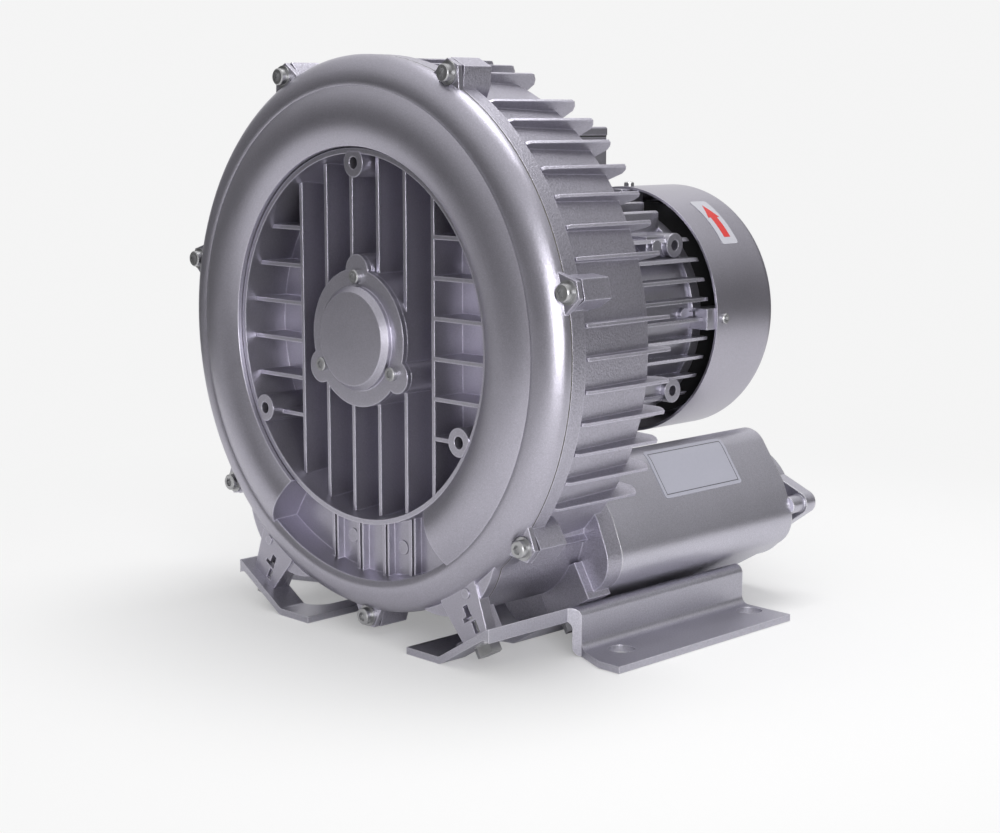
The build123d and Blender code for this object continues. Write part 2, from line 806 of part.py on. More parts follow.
blade_middle_radius = (impeller_root_radius + impeller_radius) / 2 - 1
blade_length = impeller_radius - impeller_root_radius + 2
rim_inner_radius = impeller_root_radius - impeller_rim_thickness
with BuildPart() as impeller:
    with BuildSketch(meridian):
        with BuildLine():
            Polyline(
                (impeller_seat_radius, bearing_back_station),
                (impeller_nose_radius, bearing_back_station),
                (impeller_nose_radius, hub_front_station),
                (impeller_hub_radius, hub_front_station),
                (impeller_hub_radius + 2, disc_middle - impeller_disc / 2),
                (rim_inner_radius, disc_middle - impeller_disc / 2),
                (rim_inner_radius, impeller_front_station),
                (impeller_root_radius, impeller_front_station),
                (impeller_root_radius + 3, disc_middle - impeller_web / 2),
                (impeller_radius, disc_middle - impeller_web / 2),
                (impeller_radius, disc_middle + impeller_web / 2),
                (impeller_root_radius + 3, disc_middle + impeller_web / 2),
                (impeller_root_radius, impeller_back_station),
                (rim_inner_radius, impeller_back_station),
                (rim_inner_radius, disc_middle + impeller_disc / 2),
                (impeller_hub_radius + 2, disc_middle + impeller_disc / 2),
                (impeller_hub_radius, hub_back_station),
                (impeller_seat_radius, hub_back_station),
                close=True,
            )
        make_face()
    revolve(axis=shaft_axis)
    with BuildSketch(station(impeller_back_station)):
        for angle in spread(blade_count):
            with Locations(Rotation(0, 0, angle)):
                with Locations((blade_middle_radius, 0)):
                    Rectangle(blade_length, blade_thickness)
        Circle(impeller_radius, mode=Mode.INTERSECT)
    extrude(amount=impeller_width)
    with BuildSketch(station(hub_back_station)):
        with Locations((0, key_middle_radius)):
            Rectangle(key_width, key_height)
    extrude(amount=hub_back_station - bearing_back_station, mode=Mode.SUBTRACT)
save(impeller.part, "impeller")

with BuildPart() as shaft_nut:
    with BuildSketch(station(front_bearing_station)):
        RegularPolygon(nut_flats / 2, 6, major_radius=False)
        Circle(bearing_bore_radius, mode=Mode.SUBTRACT)
    extrude(amount=nut_thickness)
save(shaft_nut.part, "shaft_nut")

seal_front_station = back_wall_station + 2.0
seal_back_station = seal_front_station + seal_width
with BuildPart() as shaft_seal:
    with BuildSketch(meridian):
        with BuildLine():
            Polyline(
                (seal_outer_radius, seal_front_station),
                (seal_outer_radius, seal_back_station),
                (seal_outer_radius - 2, seal_back_station),
                (seal_outer_radius - 2, seal_front_station + 2),
                (seal_seat_radius + 2.2, seal_front_station + 2),
                (seal_seat_radius + 2.2, seal_back_station),
                (seal_seat_radius + lip_clearance, seal_back_station - 2),
                (seal_seat_radius + 1, seal_front_station),
                close=True,
            )
        make_face()
    revolve(axis=shaft_axis)
save(shaft_seal.part, "shaft_seal")

# --- Bearings: the same pair front and rear -----------------------------------------------
ball_pitch_radius = (bearing_outer_radius + bearing_bore_radius) / 2
race_gap = bearing_outer_radius - bearing_bore_radius - 2 * bearing_ring_thickness
ball_radius = race_gap / 2 - ball_clearance
for name, front in (("front", front_bearing_station), ("rear", rear_bearing_station)):
    ball_station = front + bearing_width / 2
    with BuildPart() as outer_ring:
        with BuildSketch(station(front + bearing_width)):
            Circle(bearing_outer_radius)
            Circle(bearing_outer_radius - bearing_ring_thickness, mode=Mode.SUBTRACT)
        extrude(amount=bearing_width)
    save(outer_ring.part, f"{name}_bearing_outer_ring")
    with BuildPart() as inner_ring:
        with BuildSketch(station(front + bearing_width)):
            Circle(bearing_bore_radius + bearing_ring_thickness)
            Circle(bearing_bore_radius, mode=Mode.SUBTRACT)
        extrude(amount=bearing_width)
    save(inner_ring.part, f"{name}_bearing_inner_ring")
    with BuildPart() as balls:
        with Locations(*[station(ball_station).location]):
            with PolarLocations(ball_pitch_radius, ball_count):
                Sphere(ball_radius)
    save(balls.part, f"{name}_bearing_balls")

# --- Hub cap over the front bearing -------------------------------------------------------
cap_back_station = hub_station
cap_front_station = hub_station - cap_plate_thickness
cap_dome_station = cap_front_station - cap_dome_height
hub_screw_places = [polar(hub_screw_pitch_radius, a) for a in spread(3, 90)]
with BuildPart() as hub_cap:
    with BuildSketch(station(cap_back_station)):
        Circle(hub_radius)
        with Locations(*[polar(hub_screw_pitch_radius + 3, a) for a in spread(3, 90)]):
            Circle(hub_lobe_radius)
    extrude(amount=cap_plate_thickness)
    with BuildSketch(meridian):
        with BuildLine():
            Polyline(
                (0, cap_dome_station),
                (cap_dome_radius - 3, cap_dome_station),
                (cap_dome_radius, cap_dome_station + 3),
                (cap_dome_radius, cap_back_station),
                (cap_spigot_radius, cap_back_station),
                (cap_spigot_radius, spring_front_station),
                (cap_spigot_radius - 3.0, spring_front_station),
                (cap_spigot_radius - 3.0, cap_dome_station + cap_wall),
                (0, cap_dome_station + cap_wall),
                close=True,
            )
        make_face()
    revolve(axis=shaft_axis)
    with BuildSketch(station(cap_back_station)):
        Circle(cap_spigot_radius - 3.0)
    extrude(amount=cap_plate_thickness + cap_dome_height - cap_wall, mode=Mode.SUBTRACT)
    with BuildSketch(station(cap_back_station)):
        with Locations(*hub_screw_places):
            Circle(hub_screw_diameter / 2)
    extrude(amount=cap_plate_thickness, mode=Mode.SUBTRACT)
save(hub_cap.part, "hub_cap")

wave_spring = ring(cap_spigot_radius, cap_spigot_radius - 3.0, spring_front_station, front_bearing_station)
save(wave_spring, "wave_spring")

hub_cap_screws = cap_screws(station(cap_front_station), hub_screw_places, hub_screw_diameter, 14, 3)
save(hub_cap_screws, "hub_cap_screws")

ear_front_station = -gasket_thickness - cover_ear_thickness
with BuildPart() as cover_washers:
    with BuildSketch(station(ear_front_station)):
        with Locations(*ear_places):
            Circle(cover_washer_radius)
        with Locations(*ear_places):
            Circle(cover_screw_diameter / 2, mode=Mode.SUBTRACT)
    extrude(amount=washer_thickness)
save(cover_washers.part, "cover_washers")
cover_screws = cap_screws(
    station(ear_front_station), ear_places, cover_screw_diameter, 18, 4, washer_thickness
)
save(cover_screws, "cover_screws")


# --- Motor --------------------------------------------------------------------------------
bore_radius = frame_radius - frame_wall
fin_offsets = [motor_fin_pitch * (i - 4) for i in range(9)]
side_boss_heights = (-side_boss_height, side_boss_height)
with BuildPart() as motor_housing:
    with BuildSketch(station(motor_rear_station)):
        Circle(frame_radius)
    extrude(amount=motor_rear_station - motor_front_station)
    with BuildSketch(station(motor_front_station + motor_flange_thickness)):
        Circle(motor_flange_radius)
    extrude(amount=motor_flange_thickness)
    with BuildSketch(station(motor_rear_station)):
        with Locations(*[(0, z) for z in fin_offsets]):
            Rectangle(2 * motor_fin_radius, motor_fin_thickness)
        Rectangle(2 * frame_radius * 0.6, 2 * motor_fin_radius, mode=Mode.SUBTRACT)
        with Locations(*[(x, 0) for x in fin_offsets[1:-1]]):
            Rectangle(motor_fin_thickness, 2 * motor_fin_radius)
        Circle(motor_fin_radius, mode=Mode.INTERSECT)
    extrude(amount=motor_rear_station - motor_front_station - 4)
    # the side fins run on past the frame, clear of the cowl's screw lugs
    with BuildSketch(station(motor_rear_station + fin_overhang)):
        with Locations(*[(0, z) for z in fin_offsets if z != 0]):
            Rectangle(2 * motor_fin_radius, motor_fin_thickness)
        Rectangle(2 * frame_radius * 0.6, 2 * motor_fin_radius, mode=Mode.SUBTRACT)
        Circle(motor_fin_radius, mode=Mode.INTERSECT)
        Circle(frame_radius + 2.3, mode=Mode.SUBTRACT)
    extrude(amount=fin_overhang)
    # seat for the terminal box
    with BuildSketch(station(box_station + box_length - 5)):
        with Locations((0, box_rise - 12)):
            Rectangle(box_width - 20, 24)
    extrude(amount=box_length - 10)
    # bosses that face sideways near the rear
    for side in (-1, 1):
        face_middle = (side * side_boss_reach, 0, shaft_height)
        face = Plane(origin=face_middle, x_dir=(0, side, 0), z_dir=(side, 0, 0))
        with BuildSketch(face):
            with Locations(*[(side * (joint_y + side_boss_station), z) for z in side_boss_heights]):
                Circle(side_boss_radius)
        extrude(amount=-(side_boss_reach - 38))
        # cast blocks that carry them, and the small bosses beside them
        with BuildSketch(face.offset(-side_block_draw_in)):
            with Locations(*[(side * (joint_y + side_boss_station - 9), z) for z in side_boss_heights]):
                Rectangle(side_block_length, 12)
        extrude(amount=-(side_boss_reach - side_block_draw_in - 40))
        with BuildSketch(face.offset(9)):
            with Locations((side * (joint_y + side_boss_station), 3)):
                Circle(small_boss_radius)
            with Locations((side * (joint_y + side_boss_station + 5), 3)):
                Rectangle(5, 3)
        extrude(amount=-16)
        with BuildSketch(face):
            with Locations((side * (joint_y + side_boss_station - 17), side_boss_height)):
                Circle(small_boss_radius)
        extrude(amount=-(side_boss_reach - 42))
        with BuildSketch(face):
            with Locations(*[(side * (joint_y + side_boss_station), z) for z in side_boss_heights]):
                Circle(side_boss_hole_radius)
        extrude(amount=-10, mode=Mode.SUBTRACT)
    with BuildSketch(station(motor_rear_station)):
        Circle(bore_radius)
    extrude(amount=motor_rear_station - motor_front_station, mode=Mode.SUBTRACT)
    # cable way up to the terminal box
    with BuildSketch(Plane.XY.offset(shaft_height + box_rise)):
        with Locations((0, joint_y + cable_way_station)):
            Circle(cable_way_radius)
    extrude(amount=-(box_rise - bore_radius + 6), mode=Mode.SUBTRACT)
    with BuildSketch(station(motor_front_station)):
        with Locations(*motor_screw_places):
            Circle(motor_screw_diameter / 2)
    extrude(amount=-motor_flange_thickness, mode=Mode.SUBTRACT)
    with BuildSketch(station(motor_front_station + motor_flange_thickness)):
        with Locations(*motor_screw_places):
            Circle(motor_screw_diameter * 0.8 + 1)
    extrude(amount=-16, mode=Mode.SUBTRACT)
    with BuildSketch(station(motor_rear_station)):
        with Locations(*shield_screw_places):
            Circle(shield_screw_diameter / 2)
    extrude(amount=14, mode=Mode.SUBTRACT)
save(motor_housing.part, "motor_housing")

motor_flange_screws = cap_screws(
    flipped(station(motor_front_station + motor_flange_thickness)),
    [(x, -z) for x, z in motor_screw_places], motor_screw_diameter, motor_flange_thickness + 12, 5
)
save(motor_flange_screws, "motor_flange_screws")

slot_depth = 14.0
with BuildPart() as stator_core:
    with BuildSketch(station(stack_back_station)):
        Circle(bore_radius)
        Circle(rotor_radius + air_gap, mode=Mode.SUBTRACT)
        for angle in spread(slot_count):
            with Locations(Rotation(0, 0, angle)):
                with Locations((rotor_radius + air_gap + slot_depth / 2, 0)):
                    Rectangle(slot_depth + 1, slot_width, mode=Mode.SUBTRACT)
    extrude(amount=stack_length)
save(stator_core.part, "stator_core")

with BuildPart() as stator_windings:
    with BuildSketch(station(stack_back_station)):
        for angle in spread(slot_count):
            with Locations(Rotation(0, 0, angle)):
                with Locations((rotor_radius + air_gap + slot_depth / 2 + 2, 0)):
                    Rectangle(slot_depth - 4, slot_width)
    extrude(amount=stack_length)
    winding_inner = rotor_radius + air_gap + 3
    for front in (stack_station - winding_length, stack_back_station):
        add(ring(winding_inner + slot_depth, winding_inner, front, front + winding_length))
save(stator_windings.part, "stator_windings")

with BuildPart() as rotor_core:
    with BuildSketch(station(stack_back_station)):
        Circle(rotor_radius)
        Circle(rotor_seat_radius, mode=Mode.SUBTRACT)
    extrude(amount=stack_length)
    add(ring(rotor_radius - 1, rotor_radius - 9, stack_station - 5, stack_back_station + 5))
save(rotor_core.part, "rotor_core")

# --- Rear end shield with the rear bearing ------------------------------------------------
shield_back_station = motor_rear_station + end_shield_thickness
lug_top_radius = cowl_radius - cowl_wall
with BuildPart() as motor_end_shield:
    with BuildSketch(station(shield_back_station)):
        Circle(frame_radius + 2)
    extrude(amount=end_shield_thickness)
    with BuildSketch(station(shield_back_station)):
        Circle(bearing_outer_radius + 6)
    extrude(amount=shield_back_station - rear_bearing_station + 2)
    with BuildSketch(station(motor_rear_station)):
        Circle(bore_radius)
        Circle(bore_radius - 4, mode=Mode.SUBTRACT)
    extrude(amount=5)
    with BuildSketch(station(shield_back_station + shield_lug_length)):
        with Locations(*[polar(lug_top_radius - 6.5, a) for a in spread(4)]):
            Rectangle(13, 13)
        Circle(lug_top_radius, mode=Mode.INTERSECT)
    extrude(amount=shield_lug_length + end_shield_thickness)
    with BuildSketch(station(rear_bearing_back)):
        Circle(bearing_outer_radius)
    extrude(amount=bearing_width + 4, mode=Mode.SUBTRACT)
    with BuildSketch(station(shield_back_station)):
        Circle(bearing_bore_radius + 1.5)
    extrude(amount=8, mode=Mode.SUBTRACT)
    with BuildSketch(station(shield_back_station)):
        with Locations(*shield_screw_places):
            Circle(shield_screw_diameter / 2)
    extrude(amount=end_shield_thickness, mode=Mode.SUBTRACT)
    for angle in spread(4):
        with BuildSketch(cowl_screw_plane(angle)):
            Circle(cowl_screw_diameter / 2)
        extrude(amount=-10, mode=Mode.SUBTRACT)
save(motor_end_shield.part, "motor_end_shield")

end_shield_screws = cap_screws(
    flipped(station(shield_back_station)),
    [(x, -z) for x, z in shield_screw_places], shield_screw_diameter, end_shield_thickness + 12, 4
)
save(end_shield_screws, "end_shield_screws")

# --- Cooling fan and cowl -----------------------------------------------------------------
fan_back_station = fan_station + fan_width
with BuildPart() as cooling_fan:
    with BuildSketch(meridian):
        with BuildLine():
            Polyline(
                (fan_seat_radius, fan_station),
                (fan_hub_radius, fan_station),
                (fan_hub_radius, fan_station + 2),
                (fan_radius, fan_station + 6),
                (fan_radius, fan_station + 8.5),
                (fan_hub_radius, fan_station + 5),
                (fan_hub_radius, fan_back_station),
                (fan_seat_radius, fan_back_station),
                close=True,
            )
        make_face()
    revolve(axis=shaft_axis)
    with BuildSketch(station(fan_back_station)):
        for angle in spread(fan_blade_count):
            with Locations(Rotation(0, 0, angle)):
                with Locations(((fan_hub_radius + fan_radius) / 2, 0)):
                    Rectangle(fan_radius - fan_hub_radius + 1, fan_blade_thickness)
        Circle(fan_radius, mode=Mode.INTERSECT)
    extrude(amount=fan_back_station - fan_station - 6)
save(cooling_fan.part, "cooling_fan")

save(
    ring(fan_seat_radius + 2.5, fan_seat_radius - 1, clip_station, clip_station + clip_thickness),
    "fan_clip",
)

inner_cowl_radius = cowl_radius - cowl_wall
with BuildPart() as fan_cowl:
    with BuildSketch(meridian):
        with BuildLine():
            outer = Polyline((inner_cowl_radius, cowl_front_station), (cowl_radius, cowl_front_station))
            side = Line(outer @ 1, (cowl_radius, cowl_rear_station - cowl_corner))
            bend = RadiusArc(side @ 1, (cowl_radius - cowl_corner, cowl_rear_station), -cowl_corner)
            back = Polyline(bend @ 1, (0, cowl_rear_station), (0, cowl_rear_station - cowl_wall))
            inner = Line(back @ 1, (cowl_radius - cowl_corner, cowl_rear_station - cowl_wall))
            turn = RadiusArc(
                inner @ 1,
                (inner_cowl_radius, cowl_rear_station - cowl_corner),
                cowl_corner - cowl_wall,
            )
            Line(turn @ 1, outer @ 0)
        make_face()
    revolve(axis=shaft_axis)
    with BuildSketch(station(cowl_rear_station)):
        for i in range(grille_ring_count):
            grille_radius = grille_first_radius + i * grille_pitch
            Circle(grille_radius + grille_slot / 2)
            Circle(grille_radius - grille_slot / 2, mode=Mode.SUBTRACT)
        for angle in spread(3, 30):
            with Locations(Rotation(0, 0, angle)):
                Rectangle(2 * cowl_radius, grille_spoke, mode=Mode.SUBTRACT)
    extrude(amount=cowl_wall, mode=Mode.SUBTRACT)
    for angle in spread(4):
        with BuildSketch(cowl_screw_plane(angle)):
            Circle(cowl_screw_diameter / 2)
        extrude(amount=-5, mode=Mode.SUBTRACT)
save(fan_cowl.part, "fan_cowl")

cowl_screw_group = [
    cap_screws(cowl_screw_plane(angle), [(0, 0)], cowl_screw_diameter, 10, 2.6) for angle in spread(4)
]
cowl_screws = Part(children=cowl_screw_group)
save(cowl_screws, "cowl_screws")

# --- Terminal box -------------------------------------------------------------------------
box_bottom = shaft_height + box_rise
box_top = box_bottom + box_height
box_y = joint_y + box_station + box_length / 2
lid_screw_places = [
    (x * (box_width / 2 - 6), box_y + y * (box_length / 2 - 6)) for x in (-1, 1) for y in (-1, 1)
]
with BuildPart() as terminal_box:
    with BuildSketch(Plane.XY.offset(box_bottom)):
        with Locations((0, box_y)):
            RectangleRounded(box_width, box_length, box_corner)
    extrude(amount=box_height)
    with BuildSketch(Plane.XY.offset(box_top)):
        with Locations((0, box_y)):
            Rectangle(box_width - 2 * box_wall, box_length - 2 * box_wall)
        with Locations(*lid_screw_places):
            Circle(5.5, mode=Mode.SUBTRACT)
    extrude(amount=-(box_height - box_wall), mode=Mode.SUBTRACT)
    with BuildSketch(Plane.XY.offset(box_bottom)):
        with Locations((0, joint_y + cable_way_station)):
            Circle(cable_way_radius)
    extrude(amount=box_wall, mode=Mode.SUBTRACT)
    with BuildSketch(Plane.XY.offset(box_top)):
        with Locations(*lid_screw_places):
            Circle(lid_screw_diameter / 2)
    extrude(amount=-14, mode=Mode.SUBTRACT)
    gland_face = Plane(origin=(-box_width / 2, box_y, gland_height), x_dir=(0, -1, 0), z_dir=(-1, 0, 0))
    with BuildSketch(gland_face):
        Circle(gland_radius)
    extrude(amount=-box_wall, mode=Mode.SUBTRACT)
save(terminal_box.part, "terminal_box")

with BuildPart() as terminal_gasket:
    with BuildSketch(Plane.XY.offset(box_top)):
        with Locations((0, box_y)):
            RectangleRounded(box_width, box_length, box_corner)
            Rectangle(box_width - 2 * box_wall, box_length - 2 * box_wall, mode=Mode.SUBTRACT)
        with Locations(*lid_screw_places):
            Circle(5.5)
        with Locations(*lid_screw_places):
            Circle(lid_screw_diameter / 2, mode=Mode.SUBTRACT)
    extrude(amount=lid_gasket)
save(terminal_gasket.part, "terminal_gasket")

lid_bottom = box_top + lid_gasket
with BuildPart() as terminal_lid:
    with BuildSketch(Plane.XY.offset(lid_bottom)):
        with Locations((0, box_y)):
            RectangleRounded(box_width + 1, box_length + 1, box_corner + 0.5)
    extrude(amount=lid_thickness)
    fillet(terminal_lid.edges().group_by(Axis.Z)[-1], 1.5)
    with BuildSketch(Plane.XY.offset(lid_bottom)):
        with Locations((0, box_y)):
            Rectangle(box_width - 26, box_length - 8)
    extrude(amount=lid_thickness - 2.5, mode=Mode.SUBTRACT)
    with BuildSketch(Plane.XY.offset(lid_bottom + lid_thickness)):
        with Locations(*lid_screw_places):
            Circle(lid_screw_diameter + 0.4)
    extrude(amount=-2.5, mode=Mode.SUBTRACT)
    with BuildSketch(Plane.XY.offset(lid_bottom)):
        with Locations(*lid_screw_places):
            Circle(lid_screw_diameter / 2)
    extrude(amount=lid_thickness, mode=Mode.SUBTRACT)
save(terminal_lid.part, "terminal_lid")

lid_screws = cap_screws(
    Plane.XY.offset(lid_bottom + lid_thickness - 2.5), lid_screw_places, lid_screw_diameter, 12, 2.4
)
save(lid_screws, "lid_screws")

block_bottom = box_bottom + box_wall
stud_places = [(18 * x, box_y - 6 + 14 * y) for x in (-1, 0, 1) for y in (-0.5, 0.5)]
with BuildPart() as terminal_block:
    with BuildSketch(Plane.XY.offset(block_bottom)):
        with Locations((0, box_y - 6)):
            Rectangle(58, 30)
    extrude(amount=8)
    with BuildSketch(Plane.XY.offset(block_bottom + 8)):
        with Locations((-9, box_y - 6), (9, box_y - 6)):
            Rectangle(2, 30)
    extrude(amount=5)
    with BuildSketch(Plane.XY.offset(block_bottom + 8)):
        with Locations(*stud_places):
            Circle(2)
    extrude(amount=-8, mode=Mode.SUBTRACT)
save(terminal_block.part, "terminal_block")

with BuildPart() as terminal_studs:
    with BuildSketch(Plane.XY.offset(block_bottom)):
        with Locations(*stud_places):
            Circle(2)
    extrude(amount=20)
    with BuildSketch(Plane.XY.offset(block_bottom + 8)):
        with Locations(*stud_places):
            RegularPolygon(3.5, 6, major_radius=False)
    extrude(amount=3.2)
save(terminal_studs.part, "terminal_studs")

with BuildPart() as cable_gland:
    with BuildSketch(gland_face):
        RegularPolygon(gland_radius + 3, 6, major_radius=False)
    extrude(amount=5)
    with BuildSketch(gland_face):
        Circle(gland_radius + 1)
    extrude(amount=16)
    with BuildSketch(gland_face):
        Circle(gland_radius)
    extrude(amount=-(box_wall + 6))
    with BuildSketch(gland_face.offset(16)):
        Circle(cable_radius)
    extrude(amount=-(22 + box_wall), mode=Mode.SUBTRACT)
save(cable_gland.part, "cable_gland")

with BuildPart() as gland_nut:
    with BuildSketch(gland_face.offset(-box_wall)):
        RegularPolygon(gland_radius + 2.5, 6, major_radius=False)
        Circle(gland_radius, mode=Mode.SUBTRACT)
    extrude(amount=-4)
save(gland_nut.part, "gland_nut")

# --- Silencers: left one is the inlet, right one the outlet -------------------------------
with BuildPart() as silencer_shell:
    with BuildSketch(slanted(silencer_rear_station, silencer_radius, silencer_offset)):
        add(silencer_section(0))
    extrude(amount=silencer_rear_station - silencer_front_station)
    with BuildSketch(slanted(silencer_rear_station - rear_wall, silencer_radius, silencer_offset)):
        add(silencer_section(silencer_wall))
    extrude(amount=silencer_rear_station - silencer_front_station, mode=Mode.SUBTRACT)
    with BuildSketch(slanted(silencer_rear_station, silencer_radius, silencer_offset)):
        Circle(port_bore_radius)
        with Locations(*port_screw_places):
            Circle(port_screw_diameter / 2)
    extrude(amount=rear_wall, mode=Mode.SUBTRACT)

with BuildPart() as silencer_foam:
    with BuildSketch(slanted(silencer_rear_station - rear_wall, silencer_radius, silencer_offset)):
        add(silencer_section(silencer_wall))
        add(silencer_section(silencer_wall + foam_thickness), mode=Mode.SUBTRACT)
    extrude(amount=silencer_rear_station - rear_wall - foam_front_station)

with BuildPart() as port_flange:
    # round boss with two screw lobes
    with BuildSketch(slanted(port_rear_station, silencer_radius, silencer_offset)):
        with BuildSketch(mode=Mode.PRIVATE) as lobes:
            with Locations(*port_screw_places):
                Circle(port_lobe_radius)
            Circle(port_boss_radius - port_lobe_draw_in)
        make_hull(lobes.sketch.edges())
    extrude(amount=port_lobe_depth)
    with BuildSketch(slanted(port_rear_station, silencer_radius, silencer_offset)):
        Circle(port_boss_radius)
    extrude(amount=port_rear_station - port_gap_station)
    with BuildSketch(slanted(port_gap_station, silencer_radius, silencer_offset)):
        Circle(port_bore_radius + 4)
    extrude(amount=port_gap_station - silencer_rear_station)
    with BuildSketch(slanted(port_rear_station - port_lobe_depth, silencer_radius, silencer_offset)):
        with Locations(*port_screw_places):
            Circle(port_pillar_radius)
    extrude(amount=port_rear_station - port_lobe_depth - silencer_rear_station)
    with BuildSketch(slanted(port_rear_station, silencer_radius, silencer_offset)):
        Circle(port_thread_radius)
        with Locations(*port_screw_places):
            Circle(port_screw_diameter / 2)
    extrude(amount=port_rear_station - silencer_rear_station, mode=Mode.SUBTRACT)

port_screws = cap_screws(
    flipped(slanted(port_rear_station, silencer_radius, silencer_offset)),
    [(x, -z) for x, z in port_screw_places],
    port_screw_diameter,
    port_rear_station - silencer_rear_station + rear_wall,
    3.5,
)

for name, piece in (
    ("silencer_shell", silencer_shell.part),
    ("silencer_foam", silencer_foam.part),
    ("port_flange", port_flange.part),
    ("port_screws", port_screws),
):
    save(mirror(piece, about=middle), f"inlet_{name}")
    save(piece, f"outlet_{name}")

# --- Base plate ---------------------------------------------------------------------------
slope_top = shaft_height - seat_radius / cos(leg_lean)    # slope's top face at x = 0


def slope_height(x):
    """Height of the sloping seat's top face."""
    return slope_top + slope * x


def plate_side(x_web, lift, under):
    """Corner points of one face of the sheet, from the foot edge to the middle."""
    seat_lift = under / cos(leg_lean)
    return [
        (plate_half_width, lift),
        (x_web, lift),
        (x_web, slope_height(x_web) - seat_lift),
        ((lift - slope_top + seat_lift) / slope, lift),
        (0, lift),
    ]


sheet_section = Plane(origin=(0, joint_y + foot_rear_station, 0), x_dir=(1, 0, 0), z_dir=(0, -1, 0))
with BuildPart() as half_plate:
    with BuildSketch(sheet_section):
        with BuildLine():
            top_points = plate_side(web_offset + plate_thickness / 2, plate_thickness, 0)
            bottom_points = plate_side(web_offset - plate_thickness / 2, 0, plate_thickness)
            top = FilletPolyline(*top_points, radius=bend_radius)
            bottom = FilletPolyline(*bottom_points, radius=bend_radius)
            Line(top @ 0, bottom @ 0)
            Line(top @ 1, bottom @ 1)
        make_face()
    extrude(amount=foot_rear_station - arm_front_station)
    with BuildSketch(Plane.XY):
        with Locations((0, joint_y)):
            # front corner outside the arm, with the foot's chamfer
            Polygon(
                (arm_outer_offset, arm_front_station - 5),
                (arm_outer_offset, foot_front_station + 4),
                (web_offset + 2, foot_front_station + 9),
                (foot_chamfer_offset, foot_front_station),
                (plate_half_width + 5, foot_front_station),
                (plate_half_width + 5, arm_front_station - 5),
                align=None,
            )
            # half of the cut-out between the arms
            Polygon(
                (-5, arm_front_station - 5),
                (-5, central_cut_station),
                (arm_inner_offset - 10, central_cut_station),
                (arm_inner_offset, central_cut_station - 10),
                (arm_inner_offset, arm_front_station - 5),
                align=None,
            )
    extrude(amount=60, mode=Mode.SUBTRACT)
    with BuildSketch(Plane.XY):
        with Locations(((window_inner + window_outer) / 2, joint_y + (window_front + window_rear) / 2)):
            RectangleRounded(window_outer - window_inner, window_rear - window_front, window_corner)
    extrude(amount=60, mode=Mode.SUBTRACT)
    with BuildSketch(Plane.XY):
        with Locations(*[(foot_spacing_x / 2, y * foot_spacing_y / 2) for y in (-1, 1)]):
            Circle(foot_hole_radius)
    extrude(amount=plate_thickness + 2, mode=Mode.SUBTRACT)
    for seat in seat_bolt_planes:
        with BuildSketch(seat):
            Circle(base_bolt_diameter / 2)
        extrude(amount=14, both=True, mode=Mode.SUBTRACT)

with BuildPart() as base_plate:
    add(both_sides(half_plate.part))
save(base_plate.part, "base_plate")

with BuildPart() as half_bolts:
    for seat in seat_bolt_planes:
        with BuildSketch(seat.offset(plate_thickness + washer_thickness)):
            RegularPolygon(base_bolt_diameter * 0.8, 6, major_radius=False)
        extrude(amount=base_bolt_diameter * 0.65)
        with BuildSketch(seat.offset(plate_thickness + washer_thickness)):
            Circle(base_bolt_diameter / 2)
        extrude(amount=-(base_bolt_length + plate_thickness + washer_thickness))
with BuildPart() as base_bolts:
    add(both_sides(half_bolts.part))
save(base_bolts.part, "base_bolts")

with BuildPart() as half_washers:
    for seat in seat_bolt_planes:
        with BuildSketch(seat.offset(plate_thickness)):
            Circle(base_washer_radius)
            Circle(base_bolt_diameter / 2, mode=Mode.SUBTRACT)
        extrude(amount=washer_thickness)
with BuildPart() as base_washers:
    add(both_sides(half_washers.part))
save(base_washers.part, "base_washers")
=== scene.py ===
import json
import math

import bmesh
import bpy
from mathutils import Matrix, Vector
from mathutils.bvhtree import BVHTree

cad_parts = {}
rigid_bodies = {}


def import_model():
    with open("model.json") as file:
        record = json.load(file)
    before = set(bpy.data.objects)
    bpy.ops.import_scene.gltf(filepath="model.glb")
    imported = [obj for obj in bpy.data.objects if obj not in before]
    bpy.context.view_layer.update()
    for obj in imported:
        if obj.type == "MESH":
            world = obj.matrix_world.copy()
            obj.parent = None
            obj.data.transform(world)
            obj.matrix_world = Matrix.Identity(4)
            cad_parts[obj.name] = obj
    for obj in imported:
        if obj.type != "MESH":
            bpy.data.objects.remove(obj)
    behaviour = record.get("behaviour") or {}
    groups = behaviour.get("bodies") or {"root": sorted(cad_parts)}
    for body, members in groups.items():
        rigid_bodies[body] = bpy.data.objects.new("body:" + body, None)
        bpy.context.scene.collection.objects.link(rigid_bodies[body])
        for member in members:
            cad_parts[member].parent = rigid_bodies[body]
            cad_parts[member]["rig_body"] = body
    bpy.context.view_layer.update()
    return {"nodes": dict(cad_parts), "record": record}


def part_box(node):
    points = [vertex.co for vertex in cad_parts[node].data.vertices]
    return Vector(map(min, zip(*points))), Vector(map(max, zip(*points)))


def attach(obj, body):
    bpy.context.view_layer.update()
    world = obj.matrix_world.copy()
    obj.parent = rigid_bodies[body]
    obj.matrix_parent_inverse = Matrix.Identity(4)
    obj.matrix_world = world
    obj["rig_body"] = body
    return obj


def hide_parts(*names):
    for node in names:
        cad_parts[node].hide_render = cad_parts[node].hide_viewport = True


bl_info = {
    "name": "Side channel blower",
    "version": (1, 0, 0),
    "blender": (4, 5, 0),
    "location": "View3D > Sidebar > Blower",
    "description": "Dresses the packed blower with castings, screws, stickers and a studio",
    "category": "Object",
}

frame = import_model()
NODES = frame["nodes"]
SLOT_OF = {entry["node"]: entry["material_slot"] for entry in frame["record"]["subparts"]}
MM = 0.001

